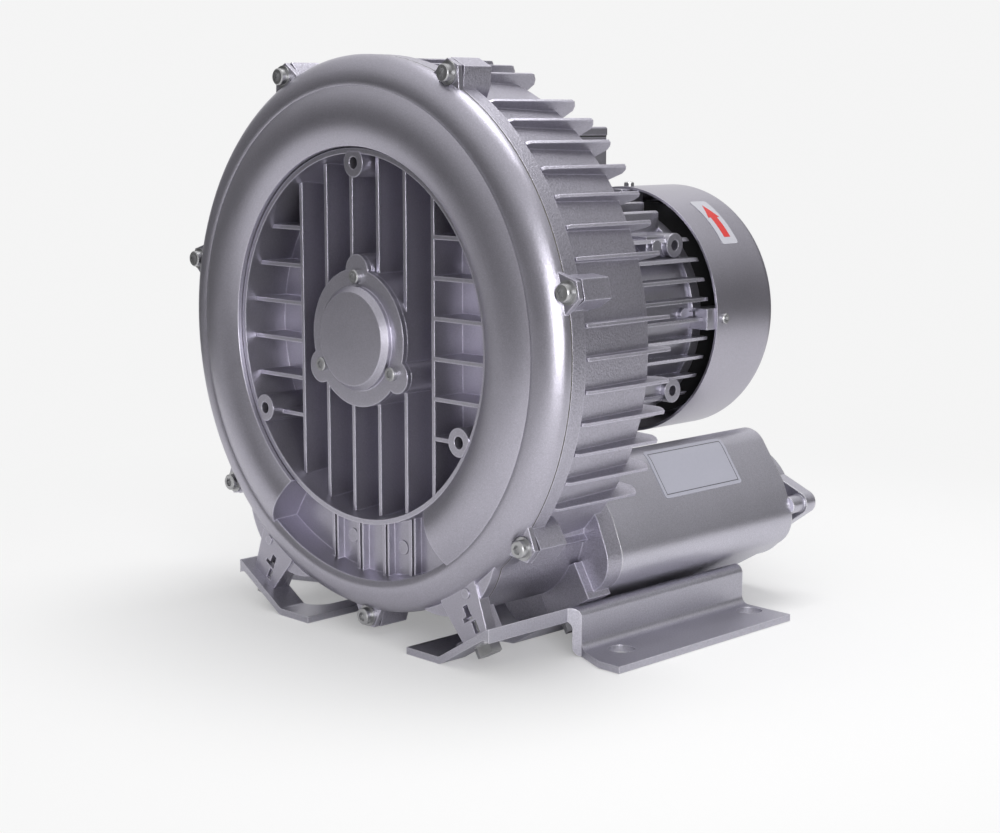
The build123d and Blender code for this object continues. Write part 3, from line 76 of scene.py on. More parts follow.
# --- Places read from the frame -----------------------------------------------------------
COWL_LOW, COWL_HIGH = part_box("fan_cowl")
SHELL_LOW, SHELL_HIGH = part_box("outlet_silencer_shell")
COVER_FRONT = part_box("front_cover")[0].y
FLANGE_LOW, FLANGE_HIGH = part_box("outlet_port_flange")
SHAFT_HEIGHT = (COWL_LOW.z + COWL_HIGH.z) / 2
COWL_RADIUS = (COWL_HIGH.x - COWL_LOW.x) / 2
LEAN = math.radians(31.0)          # turn of the silencers about their length
ACROSS = Vector((math.cos(LEAN), 0.0, math.sin(LEAN)))
TOWARDS_SHAFT = Vector((-math.sin(LEAN), 0.0, math.cos(LEAN)))
ALONG = Vector((0.0, 1.0, 0.0))
SILENCER_MIDDLE = (SHELL_LOW + SHELL_HIGH) / 2
RAY_START = 0.2                    # how far off a skin the rays that find it start


# --- Settings a user would change ---------------------------------------------------------
def colour_setting(name, description, default):
    return bpy.props.FloatVectorProperty(
        name=name, description=description, default=default, subtype="COLOR", size=3, min=0.0, max=1.0
    )


def length_setting(name, description, default):
    return bpy.props.FloatProperty(
        name=name, description=description, default=default, unit="LENGTH", min=0.0, precision=5
    )


class BlowerFinishSettings(bpy.types.PropertyGroup):
    cover: colour_setting("Cover paint", "Silver paint on the front cover", (0.45, 0.435, 0.50))
    housing: colour_setting("Housing paint", "Silver paint on the housing", (0.46, 0.445, 0.515))
    motor: colour_setting("Motor paint", "Silver paint on the motor frame", (0.42, 0.41, 0.465))
    cowl: colour_setting("Cowl paint", "Silver paint on the fan cowl", (0.43, 0.415, 0.475))
    silencer: colour_setting("Silencer paint", "Silver paint on the silencers", (0.54, 0.528, 0.60))
    plate: colour_setting("Plate paint", "Grey paint on the base plate", (0.50, 0.49, 0.555))
    zinc: colour_setting("Zinc", "Plating on the screws", (0.46, 0.46, 0.47))
    edge_radius: length_setting("Edge radius", "Rounding of the castings' edges", 0.0007)


class BlowerStickerSettings(bpy.types.PropertyGroup):
    label_length: length_setting("Label length", "Length of the blank label along the silencer", 0.070)
    label_height: length_setting("Label height", "Height of the blank label", 0.031)
    arrow_length: length_setting("Arrow length", "Length of the arrow that shows the turning way", 0.028)
    arrow_width: length_setting("Arrow width", "Width of the arrow's head", 0.0105)
    arrow_label_length: length_setting("Arrow label length", "Length of the arrow's label", 0.038)
    arrow_label_width: length_setting("Arrow label width", "Width of the arrow's label", 0.0155)
    thickness: length_setting("Thickness", "Thickness of the stickers", 0.00025)
    paper: colour_setting("Label", "Blank label", (0.36, 0.36, 0.42))
    arrow_paper: colour_setting("Arrow label", "Pale label under the arrow", (0.50, 0.50, 0.55))
    arrow_red: colour_setting("Arrow", "Arrow on the cowl", (0.60, 0.03, 0.025))


class BlowerScrewSettings(bpy.types.PropertyGroup):
    sides: bpy.props.IntProperty(
        name="Sides", description="Flats round each screw head", default=40, min=12, max=96
    )
    chamfer: length_setting("Chamfer", "Chamfer at the top of each head", 0.0006)
    thread_pitch: length_setting("Port thread pitch", "Pitch of the pipe thread in the ports", 0.002309)
    thread_depth: length_setting("Port thread depth", "Height of the pipe thread's crests", 0.0009)


class BlowerStudioSettings(bpy.types.PropertyGroup):
    lens: bpy.props.FloatProperty(name="Lens", description="Focal length in millimetres", default=66.19)
    backdrop: colour_setting("Backdrop", "Colour of the floor and the wall behind", (0.91, 0.91, 0.91))
    clear_floor: length_setting("Clear floor", "Where the floor has turned into the backdrop", 0.62)


# --- Shader expressions -------------------------------------------------------------------
class Field:
    """A shader value that Python's operators act on; each one adds its Math node."""

    def __init__(self, finish, socket):
        self.finish = finish
        self.socket = socket

    def _math(self, operation, first, second):
        return self.finish.node("ShaderNodeMath", {"operation": operation}, {0: first, 1: second})

    def __add__(self, other):
        return self._math("ADD", self, other)

    def __radd__(self, other):
        return self._math("ADD", other, self)

    def __sub__(self, other):
        return self._math("SUBTRACT", self, other)

    def __rsub__(self, other):
        return self._math("SUBTRACT", other, self)

    def __mul__(self, other):
        return self._math("MULTIPLY", self, other)

    def __rmul__(self, other):
        return self._math("MULTIPLY", other, self)

    def __truediv__(self, other):
        return self._math("DIVIDE", self, other)

    def __rtruediv__(self, other):
        return self._math("DIVIDE", other, self)


class Finish:
    """One material under construction."""

    def __init__(self, name):
        self.material = bpy.data.materials.new(name)
        self.material.use_nodes = True
        self.tree = self.material.node_tree
        self.tree.nodes.clear()

    @classmethod
    def on_tree(cls, tree):
        """Works on a tree that is there already, such as the world's."""
        made = cls.__new__(cls)
        made.material = None
        made.tree = tree
        return made

    def node(self, kind, settings=None, sockets=None, output=0):
        """Adds a node: its settings first, then its sockets' values or links."""
        made = self.tree.nodes.new(kind)
        for name, value in (settings or {}).items():
            if name == "stops":
                ramp = made.color_ramp
                for position, level in value[2:]:
                    ramp.elements.new(position)
                for element, (position, level) in zip(ramp.elements, sorted(value)):
                    element.position = position
                    element.color = (level, level, level, 1.0)
            else:
                setattr(made, name, value)
        for key, value in (sockets or {}).items():
            if isinstance(value, Field):
                self.tree.links.new(value.socket, made.inputs[key])
            else:
                made.inputs[key].default_value = value
        return Field(self, made.outputs[output]) if made.outputs else None

    def place(self):
        return self.node("ShaderNodeTexCoord", output="Object")

    def noise(self, scale, detail=4.0, roughness=0.55, place=None):
        sockets = {"Vector": place or self.place(), "Scale": scale}
        sockets.update(Detail=detail, Roughness=roughness)
        return self.node("ShaderNodeTexNoise", {}, sockets)

    def grains(self, scale, place=None):
        sockets = {"Vector": place or self.place(), "Scale": scale}
        return self.node("ShaderNodeTexVoronoi", {"feature": "F1"}, sockets)

    def ramp(self, value, *stops):
        return self.node("ShaderNodeValToRGB", {"stops": stops}, {"Fac": value})

    def mix(self, factor, first, second):
        """Colour between two others."""
        sockets = {0: factor, 6: as_colour(first), 7: as_colour(second)}
        return self.node("ShaderNodeMix", {"data_type": "RGBA"}, sockets, output=2)

    def worn_edges(self, radius):
        """1 on sharp outer edges, 0 elsewhere."""
        flat = self.node("ShaderNodeNewGeometry", output="Normal")
        turn = self.dot(flat, self.rounded_normal(radius))
        return self.ramp(turn, (0.86, 1.0), (0.99, 0.0))

    def rounded_normal(self, radius):
        return self.node("ShaderNodeBevel", {"samples": 4}, {"Radius": radius})

    def dot(self, first, second):
        return self.node(
            "ShaderNodeVectorMath", {"operation": "DOT_PRODUCT"}, {0: first, 1: second}, output=1
        )

    def bump(self, height, distance, strength=1.0, under=None):
        sockets = {"Height": height, "Distance": distance, "Strength": strength}
        if under is not None:
            sockets["Normal"] = under
        return self.node("ShaderNodeBump", {}, sockets)

    def close(self, **sockets):
        """Ends the tree in one Principled shader with the given sockets."""
        named = {key.replace("_", " "): value for key, value in sockets.items()}
        shader = self.node("ShaderNodeBsdfPrincipled", {}, named)
        self.node("ShaderNodeOutputMaterial", {}, {"Surface": shader})
        return self.material


def as_colour(value):
    if isinstance(value, Field):
        return value
    return (*value[:3], 1.0)


def tinted(colour, factor):
    return tuple(min(1.0, channel * factor) for channel in colour[:3])


# --- Materials ----------------------------------------------------------------------------
def silver_paint(name, colour, grain_size, grain_depth, roughness, edge_radius, mottle, grain):
    """Metallic silver paint: flake sparkle, cast grain and bright rubbed edges.

    grain_size and grain_depth are in metres; mottle and grain are the share of broad and fine shade.
    """
    finish = Finish(name)
    place = finish.place()
    broad = finish.noise(14.0, 3.0, 0.6, place)
    flakes = finish.noise(3200.0, 1.0, 0.5, place)
    sparkle = finish.ramp(flakes, (0.58, 0.0), (0.72, 1.0))
    pits = finish.noise(1.0 / grain_size, 3.0, 0.65, place)
    rough_skin = finish.grains(0.6 / grain_size, place)
    edges = finish.worn_edges(2.2 * edge_radius)
    shade = finish.ramp(pits, (0.36, 0.0), (0.62, 1.0))
    tone = finish.mix(broad, tinted(colour, 1.0 - mottle), tinted(colour, 1.0 + mottle))
    tone = finish.mix(grain * (1.0 - shade), tone, tinted(colour, 0.5))
    tone = finish.mix(0.30 * sparkle, tone, tinted(colour, 2.0))
    tone = finish.mix(0.55 * edges, tone, tinted(colour, 1.9))
    shine = roughness + 0.16 * (pits - 0.5) + 0.10 * (broad - 0.5) - 0.06 * edges
    rounded = finish.rounded_normal(edge_radius)
    skin = finish.bump(pits + 0.5 * rough_skin, grain_depth, 0.8, rounded)
    return finish.close(Base_Color=tone, Metallic=0.92, Roughness=shine, Normal=skin)


def zinc_plate(name, colour):
    """Bright zinc with a faint blotchy passivation."""
    finish = Finish(name)
    cloud = finish.noise(260.0, 4.0)
    fine = finish.noise(2400.0, 2.0)
    tone = finish.mix(cloud, tinted(colour, 0.82), tinted(colour, 1.12))
    shine = 0.24 + 0.16 * cloud
    return finish.close(
        Base_Color=tone, Metallic=0.95, Roughness=shine, Normal=finish.bump(fine, 0.00004, 0.5)
    )


def turned_steel(name, colour, roughness):
    """Ground or turned metal with fine rings round the shaft."""
    finish = Finish(name)
    place = finish.place()
    stretched = finish.node(
        "ShaderNodeMapping", {}, {"Vector": place, "Scale": (1.0, 60.0, 1.0)}
    )
    rings = finish.noise(60.0, 2.0, 0.6, stretched)
    cloud = finish.noise(40.0, 3.0, 0.5, place)
    tone = finish.mix(cloud, tinted(colour, 0.88), tinted(colour, 1.08))
    shine = roughness + 0.12 * rings
    return finish.close(
        Base_Color=tone, Metallic=1.0, Roughness=shine, Normal=finish.bump(rings, 0.00003, 0.6)
    )


def stacked_sheet(name):
    """Thin steel sheets stacked along the shaft."""
    finish = Finish(name)
    place = finish.place()
    sheets = finish.node(
        "ShaderNodeTexWave", {"bands_direction": "Y"},
        {"Vector": place, "Scale": 320.0, "Distortion": 0.2},
    )
    cloud = finish.noise(70.0, 4.0, 0.6, place)
    tone = finish.mix(sheets, (0.10, 0.10, 0.11), (0.26, 0.26, 0.27))
    shine = 0.38 + 0.2 * cloud
    return finish.close(
        Base_Color=tone, Metallic=0.85, Roughness=shine, Normal=finish.bump(sheets, 0.0001, 0.6)
    )


def wound_copper(name):
    """Varnished copper wire laid round the stack."""
    finish = Finish(name)
    place = finish.place()
    wires = finish.node(
        "ShaderNodeTexWave", {"wave_type": "RINGS", "rings_direction": "Y"},
        {"Vector": place, "Scale": 240.0, "Distortion": 1.5, "Detail": 1.0},
    )
    tone = finish.mix(wires, (0.30, 0.11, 0.04), (0.62, 0.27, 0.11))
    shine = 0.28 + 0.2 * wires
    return finish.close(
        Base_Color=tone, Metallic=0.7, Roughness=shine, Normal=finish.bump(wires, 0.0002, 0.8)
    )


def soft_black(name, colour, scale, depth, roughness):
    """Moulded rubber, plastic, fibre or foam."""
    finish = Finish(name)
    place = finish.place()
    grain = finish.noise(scale, 5.0, 0.7, place)
    broad = finish.noise(25.0, 2.0, 0.5, place)
    tone = finish.mix(grain, tinted(colour, 0.7), tinted(colour, 1.35))
    shine = roughness + 0.15 * (broad - 0.5)
    return finish.close(
        Base_Color=tone, Metallic=0.0, Roughness=shine, Normal=finish.bump(grain, depth, 0.8)
    )


def sticker_film(name, colour, rub=0.10, frame_size=None):
    """Printed film, slightly scuffed; frame_size draws a thin dark line at half a width and height."""
    finish = Finish(name)
    scuff = finish.ramp(finish.noise(420.0, 6.0, 0.7), (0.45, 0.0), (0.75, 1.0))
    broad = finish.noise(60.0, 2.0)
    tone = finish.mix(rub * scuff + 0.1 * broad, colour, tinted(colour, 0.75))
    if frame_size:
        tone = finish.mix(0.85 * frame_line(finish, *frame_size), tone, (0.03, 0.03, 0.035))
    shine = 0.30 + 0.25 * scuff
    return finish.close(
        Base_Color=tone, Metallic=0.0, Roughness=shine, Normal=finish.bump(scuff, 0.00002, 0.5)
    )


def frame_line(finish, half_width, half_height):
    """1 on a thin line round a film, read from where each point lay before it was laid."""
    lay = finish.node("ShaderNodeAttribute", {"attribute_name": "flat_place"}, output=1)
    parted = finish.tree.nodes.new("ShaderNodeSeparateXYZ")
    finish.tree.links.new(lay.socket, parted.inputs[0])
    over = []
    for socket, half in ((parted.outputs[0], half_width), (parted.outputs[1], half_height)):
        away = finish.node("ShaderNodeMath", {"operation": "ABSOLUTE"}, {0: Field(finish, socket)})
        over.append(away - half)
    rim = finish.node("ShaderNodeMath", {"operation": "MAXIMUM"}, {0: over[0], 1: over[1]})
    return finish.node("ShaderNodeMath", {"operation": "COMPARE"}, {0: rim, 1: 0.0, 2: FRAME_HALF_LINE})


# slot: name, its colour among the settings, grain size and depth in metres, roughness,
# edge radius in metres (None takes the settings' one), mottle, grain
PAINTS = {
    "cover": ("Cover paint", "cover", 0.0009, 0.00006, 0.37, None, 0.12, 0.22),
    "housing": ("Sand cast paint", "housing", 0.0009, 0.00024, 0.40, None, 0.16, 0.50),
    "motor": ("Motor paint", "motor", 0.0010, 0.00010, 0.34, None, 0.12, 0.25),
    "cowl": ("Cowl paint", "cowl", 0.0010, 0.00003, 0.36, 0.0004, 0.10, 0.20),
    "silencer": ("Silencer paint", "silencer", 0.0009, 0.00008, 0.36, None, 0.12, 0.28),
    "box": ("Box paint", "motor", 0.0011, 0.00008, 0.40, None, 0.10, 0.08),
    "plate": ("Plate paint", "plate", 0.0010, 0.00008, 0.40, 0.0004, 0.14, 0.35),
}


def finishes(settings):
    """The material of every slot in the record."""
    made = {}
    for slot, (name, colour, size, depth, roughness, edge, mottle, grain) in PAINTS.items():
        edge = edge or settings.edge_radius
        paint = getattr(settings, colour)
        made[slot] = silver_paint(name, paint, size, depth, roughness, edge, mottle, grain)
    made["zinc"] = zinc_plate("Zinc plating", settings.zinc)
    made["steel"] = turned_steel("Ground steel", (0.55, 0.55, 0.56), 0.22)
    made["aluminium"] = turned_steel("Machined aluminium", (0.72, 0.72, 0.73), 0.30)
    made["laminations"] = stacked_sheet("Stacked sheet")
    made["copper"] = wound_copper("Wound copper")
    made["rubber"] = soft_black("Black rubber", (0.025, 0.025, 0.027), 900.0, 0.00006, 0.62)
    made["gasket"] = soft_black("Fibre gasket", (0.10, 0.095, 0.085), 1400.0, 0.0001, 0.85)
    made["foam"] = soft_black("Open foam", (0.06, 0.06, 0.065), 480.0, 0.0012, 0.95)
    made["plastic"] = soft_black("Black plastic", (0.03, 0.03, 0.032), 1500.0, 0.00003, 0.45)
    return made


MATERIAL_OF = {}


# --- Mesh helpers -------------------------------------------------------------------------
WELD = 2e-6                        # points closer than this are one, in metres


def add_object(name, mesh, material, body="machine"):
    """Links a piece, gives it its finish and lets it ride on its body."""
    made = bpy.data.objects.new(name, mesh)
    bpy.context.scene.collection.objects.link(made)
    mesh.materials.clear()
    mesh.materials.append(material)
    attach(made, body)
    return made


def smooth_by_angle(mesh, degrees=32.0):
    """Smooth faces that break only where the surface turns sharply."""
    work = bmesh.new()
    work.from_mesh(mesh)
    for face in work.faces:
        face.smooth = True
    limit = math.radians(degrees)
    for edge in work.edges:
        edge.smooth = len(edge.link_faces) == 2 and edge.calc_face_angle(math.pi) < limit
    work.to_mesh(mesh)
    work.free()


def dressed_copy(node):
    """A merged, smoothly shaded copy of a CAD node that stands for it."""
    mesh = NODES[node].data.copy()
    work = bmesh.new()
    work.from_mesh(mesh)
    bmesh.ops.remove_doubles(work, verts=work.verts, dist=WELD)
    work.to_mesh(mesh)
    work.free()
    smooth_by_angle(mesh)
    slot = SLOT_OF[node]
    made = add_object(f"{node}_dressed", mesh, MATERIAL_OF[slot], NODES[node]["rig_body"])
    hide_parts(node)
    return made


def rounded_grid(width, height, radius, columns=28, rows=14):
    """Points of a grid over a rectangle whose corners are pulled in to a radius, row by row."""
    grid = []
    for j in range(rows + 1):
        row = []
        for i in range(columns + 1):
            x = width * (i / columns - 0.5)
            y = height * (j / rows - 0.5)
            over_x = abs(x) - (width / 2 - radius)
            over_y = abs(y) - (height / 2 - radius)
            if over_x > 0 and over_y > 0:
                pull = max(over_x, over_y) / math.hypot(over_x, over_y)
                x = math.copysign(width / 2 - radius + over_x * pull, x)
                y = math.copysign(height / 2 - radius + over_y * pull, y)
            row.append((x, y))
        grid.append(row)
    return grid


def arrow_grid(length, width, columns=24):
    """Points of a plain arrow along +X, as rows from its lower to its upper edge."""
    head = 0.42 * length
    stations = {i / columns * length for i in range(columns + 1)}
    stations = sorted(stations | {length - head, length - head + 1e-6})
    rows = []
    for side in (-1.0, -0.5, 0.0, 0.5, 1.0):
        row = []
        for x in stations:
            if x <= length - head:
                half = 0.28 * width
            else:
                half = max(0.02, (length - x) / head) * width / 2
            row.append((x - length / 2, side * half))
        rows.append(row)
    return rows


def film(name, grid, thickness, lay):
    """Thin closed film; lay gives the skin's point and normal under each (x, y) of the grid."""
    laid = [[lay(x, y) for x, y in row] for row in grid]
    work = bmesh.new()
    layers = []
    for lift in (0.1 * thickness, thickness):
        layers.append([[work.verts.new(point + normal * lift) for point, normal in row] for row in laid])
    rows = len(grid)
    columns = len(grid[0])
    for j in range(rows - 1):
        for i in range(columns - 1):
            for under in layers:
                work.faces.new((under[j][i], under[j][i + 1], under[j + 1][i + 1], under[j + 1][i]))
    rim = [(0, i) for i in range(columns)]
    rim += [(j, columns - 1) for j in range(1, rows)]
    rim += [(rows - 1, i) for i in range(columns - 2, -1, -1)]
    rim += [(j, 0) for j in range(rows - 2, 0, -1)]
    for (j, i), (l, k) in zip(rim, rim[1:] + rim[:1]):
        work.faces.new((layers[0][j][i], layers[0][l][k], layers[1][l][k], layers[1][j][i]))
    bmesh.ops.recalc_face_normals(work, faces=work.faces)
    mesh = bpy.data.meshes.new(name)
    work.to_mesh(mesh)
    work.free()
    flat = [value for _ in layers for row in grid for x, y in row for value in (x, y, 0.0)]
    stored = mesh.attributes.new("flat_place", "FLOAT_VECTOR", "POINT")
    stored.data.foreach_set("vector", flat)
    smooth_by_angle(mesh, 40.0)
    return mesh


def skin_of(name, context):
    """A piece's faces, ready for rays."""
    return BVHTree.FromObject(bpy.data.objects[name], context.evaluated_depsgraph_get())


def islands(mesh):
    """The vertices of each loose piece of a mesh."""
    work = bmesh.new()
    work.from_mesh(mesh)
    bmesh.ops.remove_doubles(work, verts=work.verts, dist=WELD)
    left = set(work.verts)
    found = []
    while left:
        start = left.pop()
        piece = [start]
        queue = [start]
        while queue:
            for edge in queue.pop().link_edges:
                for vert in edge.verts:
                    if vert in left:
                        left.remove(vert)
                        piece.append(vert)
                        queue.append(vert)
        found.append([vert.co.copy() for vert in piece])
    work.free()
    return found


# --- Geometry node trees ------------------------------------------------------------------
class Grower:
    """A Geometry Nodes tree under construction."""

    def __init__(self, name, inputs):
        self.tree = bpy.data.node_groups.new(name, "GeometryNodeTree")
        self.tree.interface.new_socket("Geometry", in_out="INPUT", socket_type="NodeSocketGeometry")
        self.keys = {}
        for label, kind, value in inputs:
            socket = self.tree.interface.new_socket(label, in_out="INPUT", socket_type=kind)
            if value is not None:
                socket.default_value = value
            self.keys[label] = socket.identifier
        self.tree.interface.new_socket("Geometry", in_out="OUTPUT", socket_type="NodeSocketGeometry")
        self.entry = self.tree.nodes.new("NodeGroupInput")

    def value(self, label):
        return self.entry.outputs[label]

    def node(self, kind, settings=None, sockets=None):
        """Adds a node: its settings first, then its sockets' values or links."""
        made = self.tree.nodes.new(kind)
        for name, value in (settings or {}).items():
            setattr(made, name, value)
        for key, value in (sockets or {}).items():
            for one in value if isinstance(value, list) else [value]:
                if isinstance(one, bpy.types.NodeSocket):
                    self.tree.links.new(one, made.inputs[key])
                else:
                    made.inputs[key].default_value = one
        return made

    def math(self, operation, first, second):
        return self.node("ShaderNodeMath", {"operation": operation}, {0: first, 1: second}).outputs[0]

    def vector(self, x, y, z):
        return self.node("ShaderNodeCombineXYZ", {}, {"X": x, "Y": y, "Z": z}).outputs[0]

    def moved(self, geometry, x, y, z):
        move = {"Geometry": geometry, "Translation": self.vector(x, y, z)}
        return self.node("GeometryNodeTransform", {}, move).outputs[0]

    def without_faces(self, geometry, chosen):
        sockets = {"Geometry": geometry, "Selection": chosen}
        return self.node("GeometryNodeDeleteGeometry", {"domain": "FACE"}, sockets).outputs[0]

    def close(self, geometry):
        """Makes the instances real and gives them their material."""
        real = self.node("GeometryNodeRealizeInstances", {}, {"Geometry": geometry}).outputs[0]
        dressed = self.node(
            "GeometryNodeSetMaterial", {}, {"Geometry": real, "Material": self.value("Material")}
        ).outputs[0]
        self.node("NodeGroupOutput", {}, {"Geometry": dressed})
        return self


def cap_screw_tree():
    """Socket head screws, one on each point, along the point's facing."""
    grower = Grower(
        "Cap screws",
        [
            ("Head radius", "NodeSocketFloat", 0.005),
            ("Head height", "NodeSocketFloat", 0.004),
            ("Chamfer", "NodeSocketFloat", 0.0006),
            ("Key radius", "NodeSocketFloat", 0.0025),
            ("Shank radius", "NodeSocketFloat", 0.003),
            ("Shank length", "NodeSocketFloat", 0.016),
            ("Sides", "NodeSocketInt", 40),
            ("Material", "NodeSocketMaterial", None),
        ],
    )
    radius = grower.value("Head radius")
    height = grower.value("Head height")
    chamfer = grower.value("Chamfer")
    straight = grower.math("SUBTRACT", height, chamfer)
    side = grower.node(
        "GeometryNodeMeshCylinder", {"fill_type": "NGON"},
        {"Vertices": grower.value("Sides"), "Radius": radius, "Depth": straight},
    )
    wall = grower.without_faces(side.outputs[0], side.outputs[1])
    wall = grower.moved(wall, 0.0, 0.0, grower.math("DIVIDE", straight, 2.0))
    slope = grower.node(
        "GeometryNodeMeshCone", {"fill_type": "NGON"},
        {
            "Vertices": grower.value("Sides"), "Radius Bottom": radius,
            "Radius Top": grower.math("SUBTRACT", radius, chamfer), "Depth": chamfer,
        },
    )
    crown = grower.without_faces(slope.outputs[0], slope.outputs[2])
    crown = grower.moved(crown, 0.0, 0.0, straight)
    head = grower.node("GeometryNodeJoinGeometry", {}, {"Geometry": [wall, crown]}).outputs[0]
    head = grower.node(
        "GeometryNodeMergeByDistance", {}, {"Geometry": head, "Distance": 0.00001}
    ).outputs[0]
    key = grower.node(
        "GeometryNodeMeshCylinder", {"fill_type": "NGON"},
        {"Vertices": 6, "Radius": grower.value("Key radius"), "Depth": height},
    ).outputs[0]
    key = grower.moved(key, 0.0, 0.0, height)
    head = grower.node(
        "GeometryNodeMeshBoolean", {"operation": "DIFFERENCE"}, {0: head, 1: [key]}
    ).outputs[0]
    shank = grower.node(
        "GeometryNodeMeshCylinder", {"fill_type": "NGON"},
        {
            "Vertices": grower.value("Sides"), "Radius": grower.value("Shank radius"),
            "Depth": grower.value("Shank length"),
        },
    ).outputs[0]
    shank = grower.moved(
        shank, 0.0, 0.0, grower.math("MULTIPLY", grower.value("Shank length"), -0.5)
    )
    screw = grower.node("GeometryNodeJoinGeometry", {}, {"Geometry": [head, shank]}).outputs[0]
    facing = grower.node(
        "GeometryNodeInputNamedAttribute", {"data_type": "FLOAT_VECTOR"}, {"Name": "facing"}
    ).outputs[0]
    turn = grower.node("FunctionNodeAlignRotationToVector", {"axis": "Z"}, {"Vector": facing}).outputs[0]
    placed = grower.node(
        "GeometryNodeInstanceOnPoints", {},
        {"Points": grower.value("Geometry"), "Instance": screw, "Rotation": turn},
    ).outputs[0]
    return grower.close(placed)


def pipe_thread_tree():
    """Crests of a pipe thread: a sharp ridge carried round a helix."""
    grower = Grower(
        "Pipe thread",
        [
            ("Radius", "NodeSocketFloat", 0.0283),
            ("Pitch", "NodeSocketFloat", 0.002309),
            ("Turns", "NodeSocketFloat", 7.0),
            ("Crest", "NodeSocketFloat", 0.0009),
            ("Material", "NodeSocketMaterial", None),
        ],
    )
    length = grower.math("MULTIPLY", grower.value("Pitch"), grower.value("Turns"))
    helix = grower.node(
        "GeometryNodeCurveSpiral", {},
        {
            "Resolution": 48, "Rotations": grower.value("Turns"), "Start Radius": grower.value("Radius"),
            "End Radius": grower.value("Radius"), "Height": length,
        },
    ).outputs[0]
    profile = grower.node(
        "GeometryNodeCurvePrimitiveCircle", {"mode": "RADIUS"},
        {"Resolution": 4, "Radius": grower.value("Crest")},
    ).outputs[0]
    ridge = grower.node(
        "GeometryNodeCurveToMesh", {}, {"Curve": helix, "Profile Curve": profile, "Fill Caps": True}
    ).outputs[0]
    return grower.close(ridge)


def grown(name, grower, values, points=(), facings=()):
    """Runs a tree on loose points and returns the result as a plain mesh."""
    seed = bpy.data.meshes.new(f"{name}_points")
    seed.from_pydata([tuple(point) for point in points], [], [])
    if facings:
        stored = seed.attributes.new("facing", "FLOAT_VECTOR", "POINT")
        stored.data.foreach_set("vector", [value for facing in facings for value in facing])
    carrier = bpy.data.objects.new(f"{name}_carrier", seed)
    bpy.context.scene.collection.objects.link(carrier)
    modifier = carrier.modifiers.new(name, "NODES")
    modifier.node_group = grower.tree
    for label, value in values.items():
        modifier[grower.keys[label]] = value
    evaluated = carrier.evaluated_get(bpy.context.evaluated_depsgraph_get())
    mesh = bpy.data.meshes.new_from_object(evaluated)
    mesh.name = name
    carrier.modifiers.remove(modifier)
    bpy.data.objects.remove(carrier)
    return mesh


# --- Operators ----------------------------------------------------------------------------
class BLOWER_OT_finish(bpy.types.Operator):
    """Paint and plate every part of the blower"""

    bl_idname = "blower.finish"
    bl_label = "Finish all parts"

    def execute(self, context):
        MATERIAL_OF.update(finishes(context.scene.blower_finish))
        for name, node in NODES.items():
            node.data.materials.clear()
            node.data.materials.append(MATERIAL_OF[SLOT_OF[name]])
        return {"FINISHED"}


class BLOWER_OT_castings(bpy.types.Operator):
    """Give the castings, sheet parts and turned parts merged, smoothly shaded copies"""

    bl_idname = "blower.castings"
    bl_label = "Dress castings"

    def execute(self, context):
        for name in NODES:
            if name not in CAP_SCREWS:
                dressed_copy(name)
        return {"FINISHED"}


# name: x, z and diameter
PIN_MARKS = {
    "pocket_mark_left": (-21.0 * MM, 54.7 * MM, 8.5 * MM),
    "pocket_mark_right": (23.0 * MM, 54.7 * MM, 8.5 * MM),
    "leg_mark_left": (-88.0 * MM, 42.5 * MM, 6.0 * MM),
    "leg_mark_right": (86.0 * MM, 41.5 * MM, 6.0 * MM),
}
PIN_MARK_HEIGHT = 0.5 * MM


class BLOWER_OT_pin_marks(bpy.types.Operator):
    """Raise the round marks that ejector pins leave on the cast cover"""

    bl_idname = "blower.pin_marks"
    bl_label = "Make pin marks"

    def execute(self, context):
        skin = skin_of("front_cover_dressed", context)
        for name, (x, z, diameter) in PIN_MARKS.items():
            start = Vector((x, COVER_FRONT - RAY_START, z))
            point, normal, _, _ = skin.ray_cast(start, ALONG)
            if point is None:
                raise RuntimeError(f"{name} misses the cover")
            across = normal.cross(Vector((0.0, 0.0, 1.0))).normalized()
            up = across.cross(normal)
            disc = film(
                name,
                rounded_grid(diameter, diameter, diameter / 2, 16, 16),
                PIN_MARK_HEIGHT,
                lambda u, v: (point + across * u + up * v, normal),
            )
            add_object(name, disc, MATERIAL_OF["cover"])
        return {"FINISHED"}


def backwards(place):
    return Vector((0.0, 1.0, 0.0))


def forwards(place):
    return Vector((0.0, -1.0, 0.0))


def upwards(place):
    return Vector((0.0, 0.0, 1.0))


def away_from_shaft(place):
    out = Vector((place.x, 0.0, place.z - SHAFT_HEIGHT))
    return out.normalized()


# node: way its heads face, head height
CAP_SCREWS = {
    "cover_screws": (forwards, 4.0 * MM),
    "hub_cap_screws": (forwards, 3.0 * MM),
    "motor_flange_screws": (backwards, 5.0 * MM),
    "end_shield_screws": (backwards, 4.0 * MM),
    "cowl_screws": (away_from_shaft, 2.6 * MM),
    "lid_screws": (upwards, 2.4 * MM),
    "inlet_port_screws": (backwards, 3.5 * MM),
    "outlet_port_screws": (backwards, 3.5 * MM),
}
HEAD_TO_SHANK = 0.5 / 0.8
HEAD_TO_KEY = 0.46 / 0.8


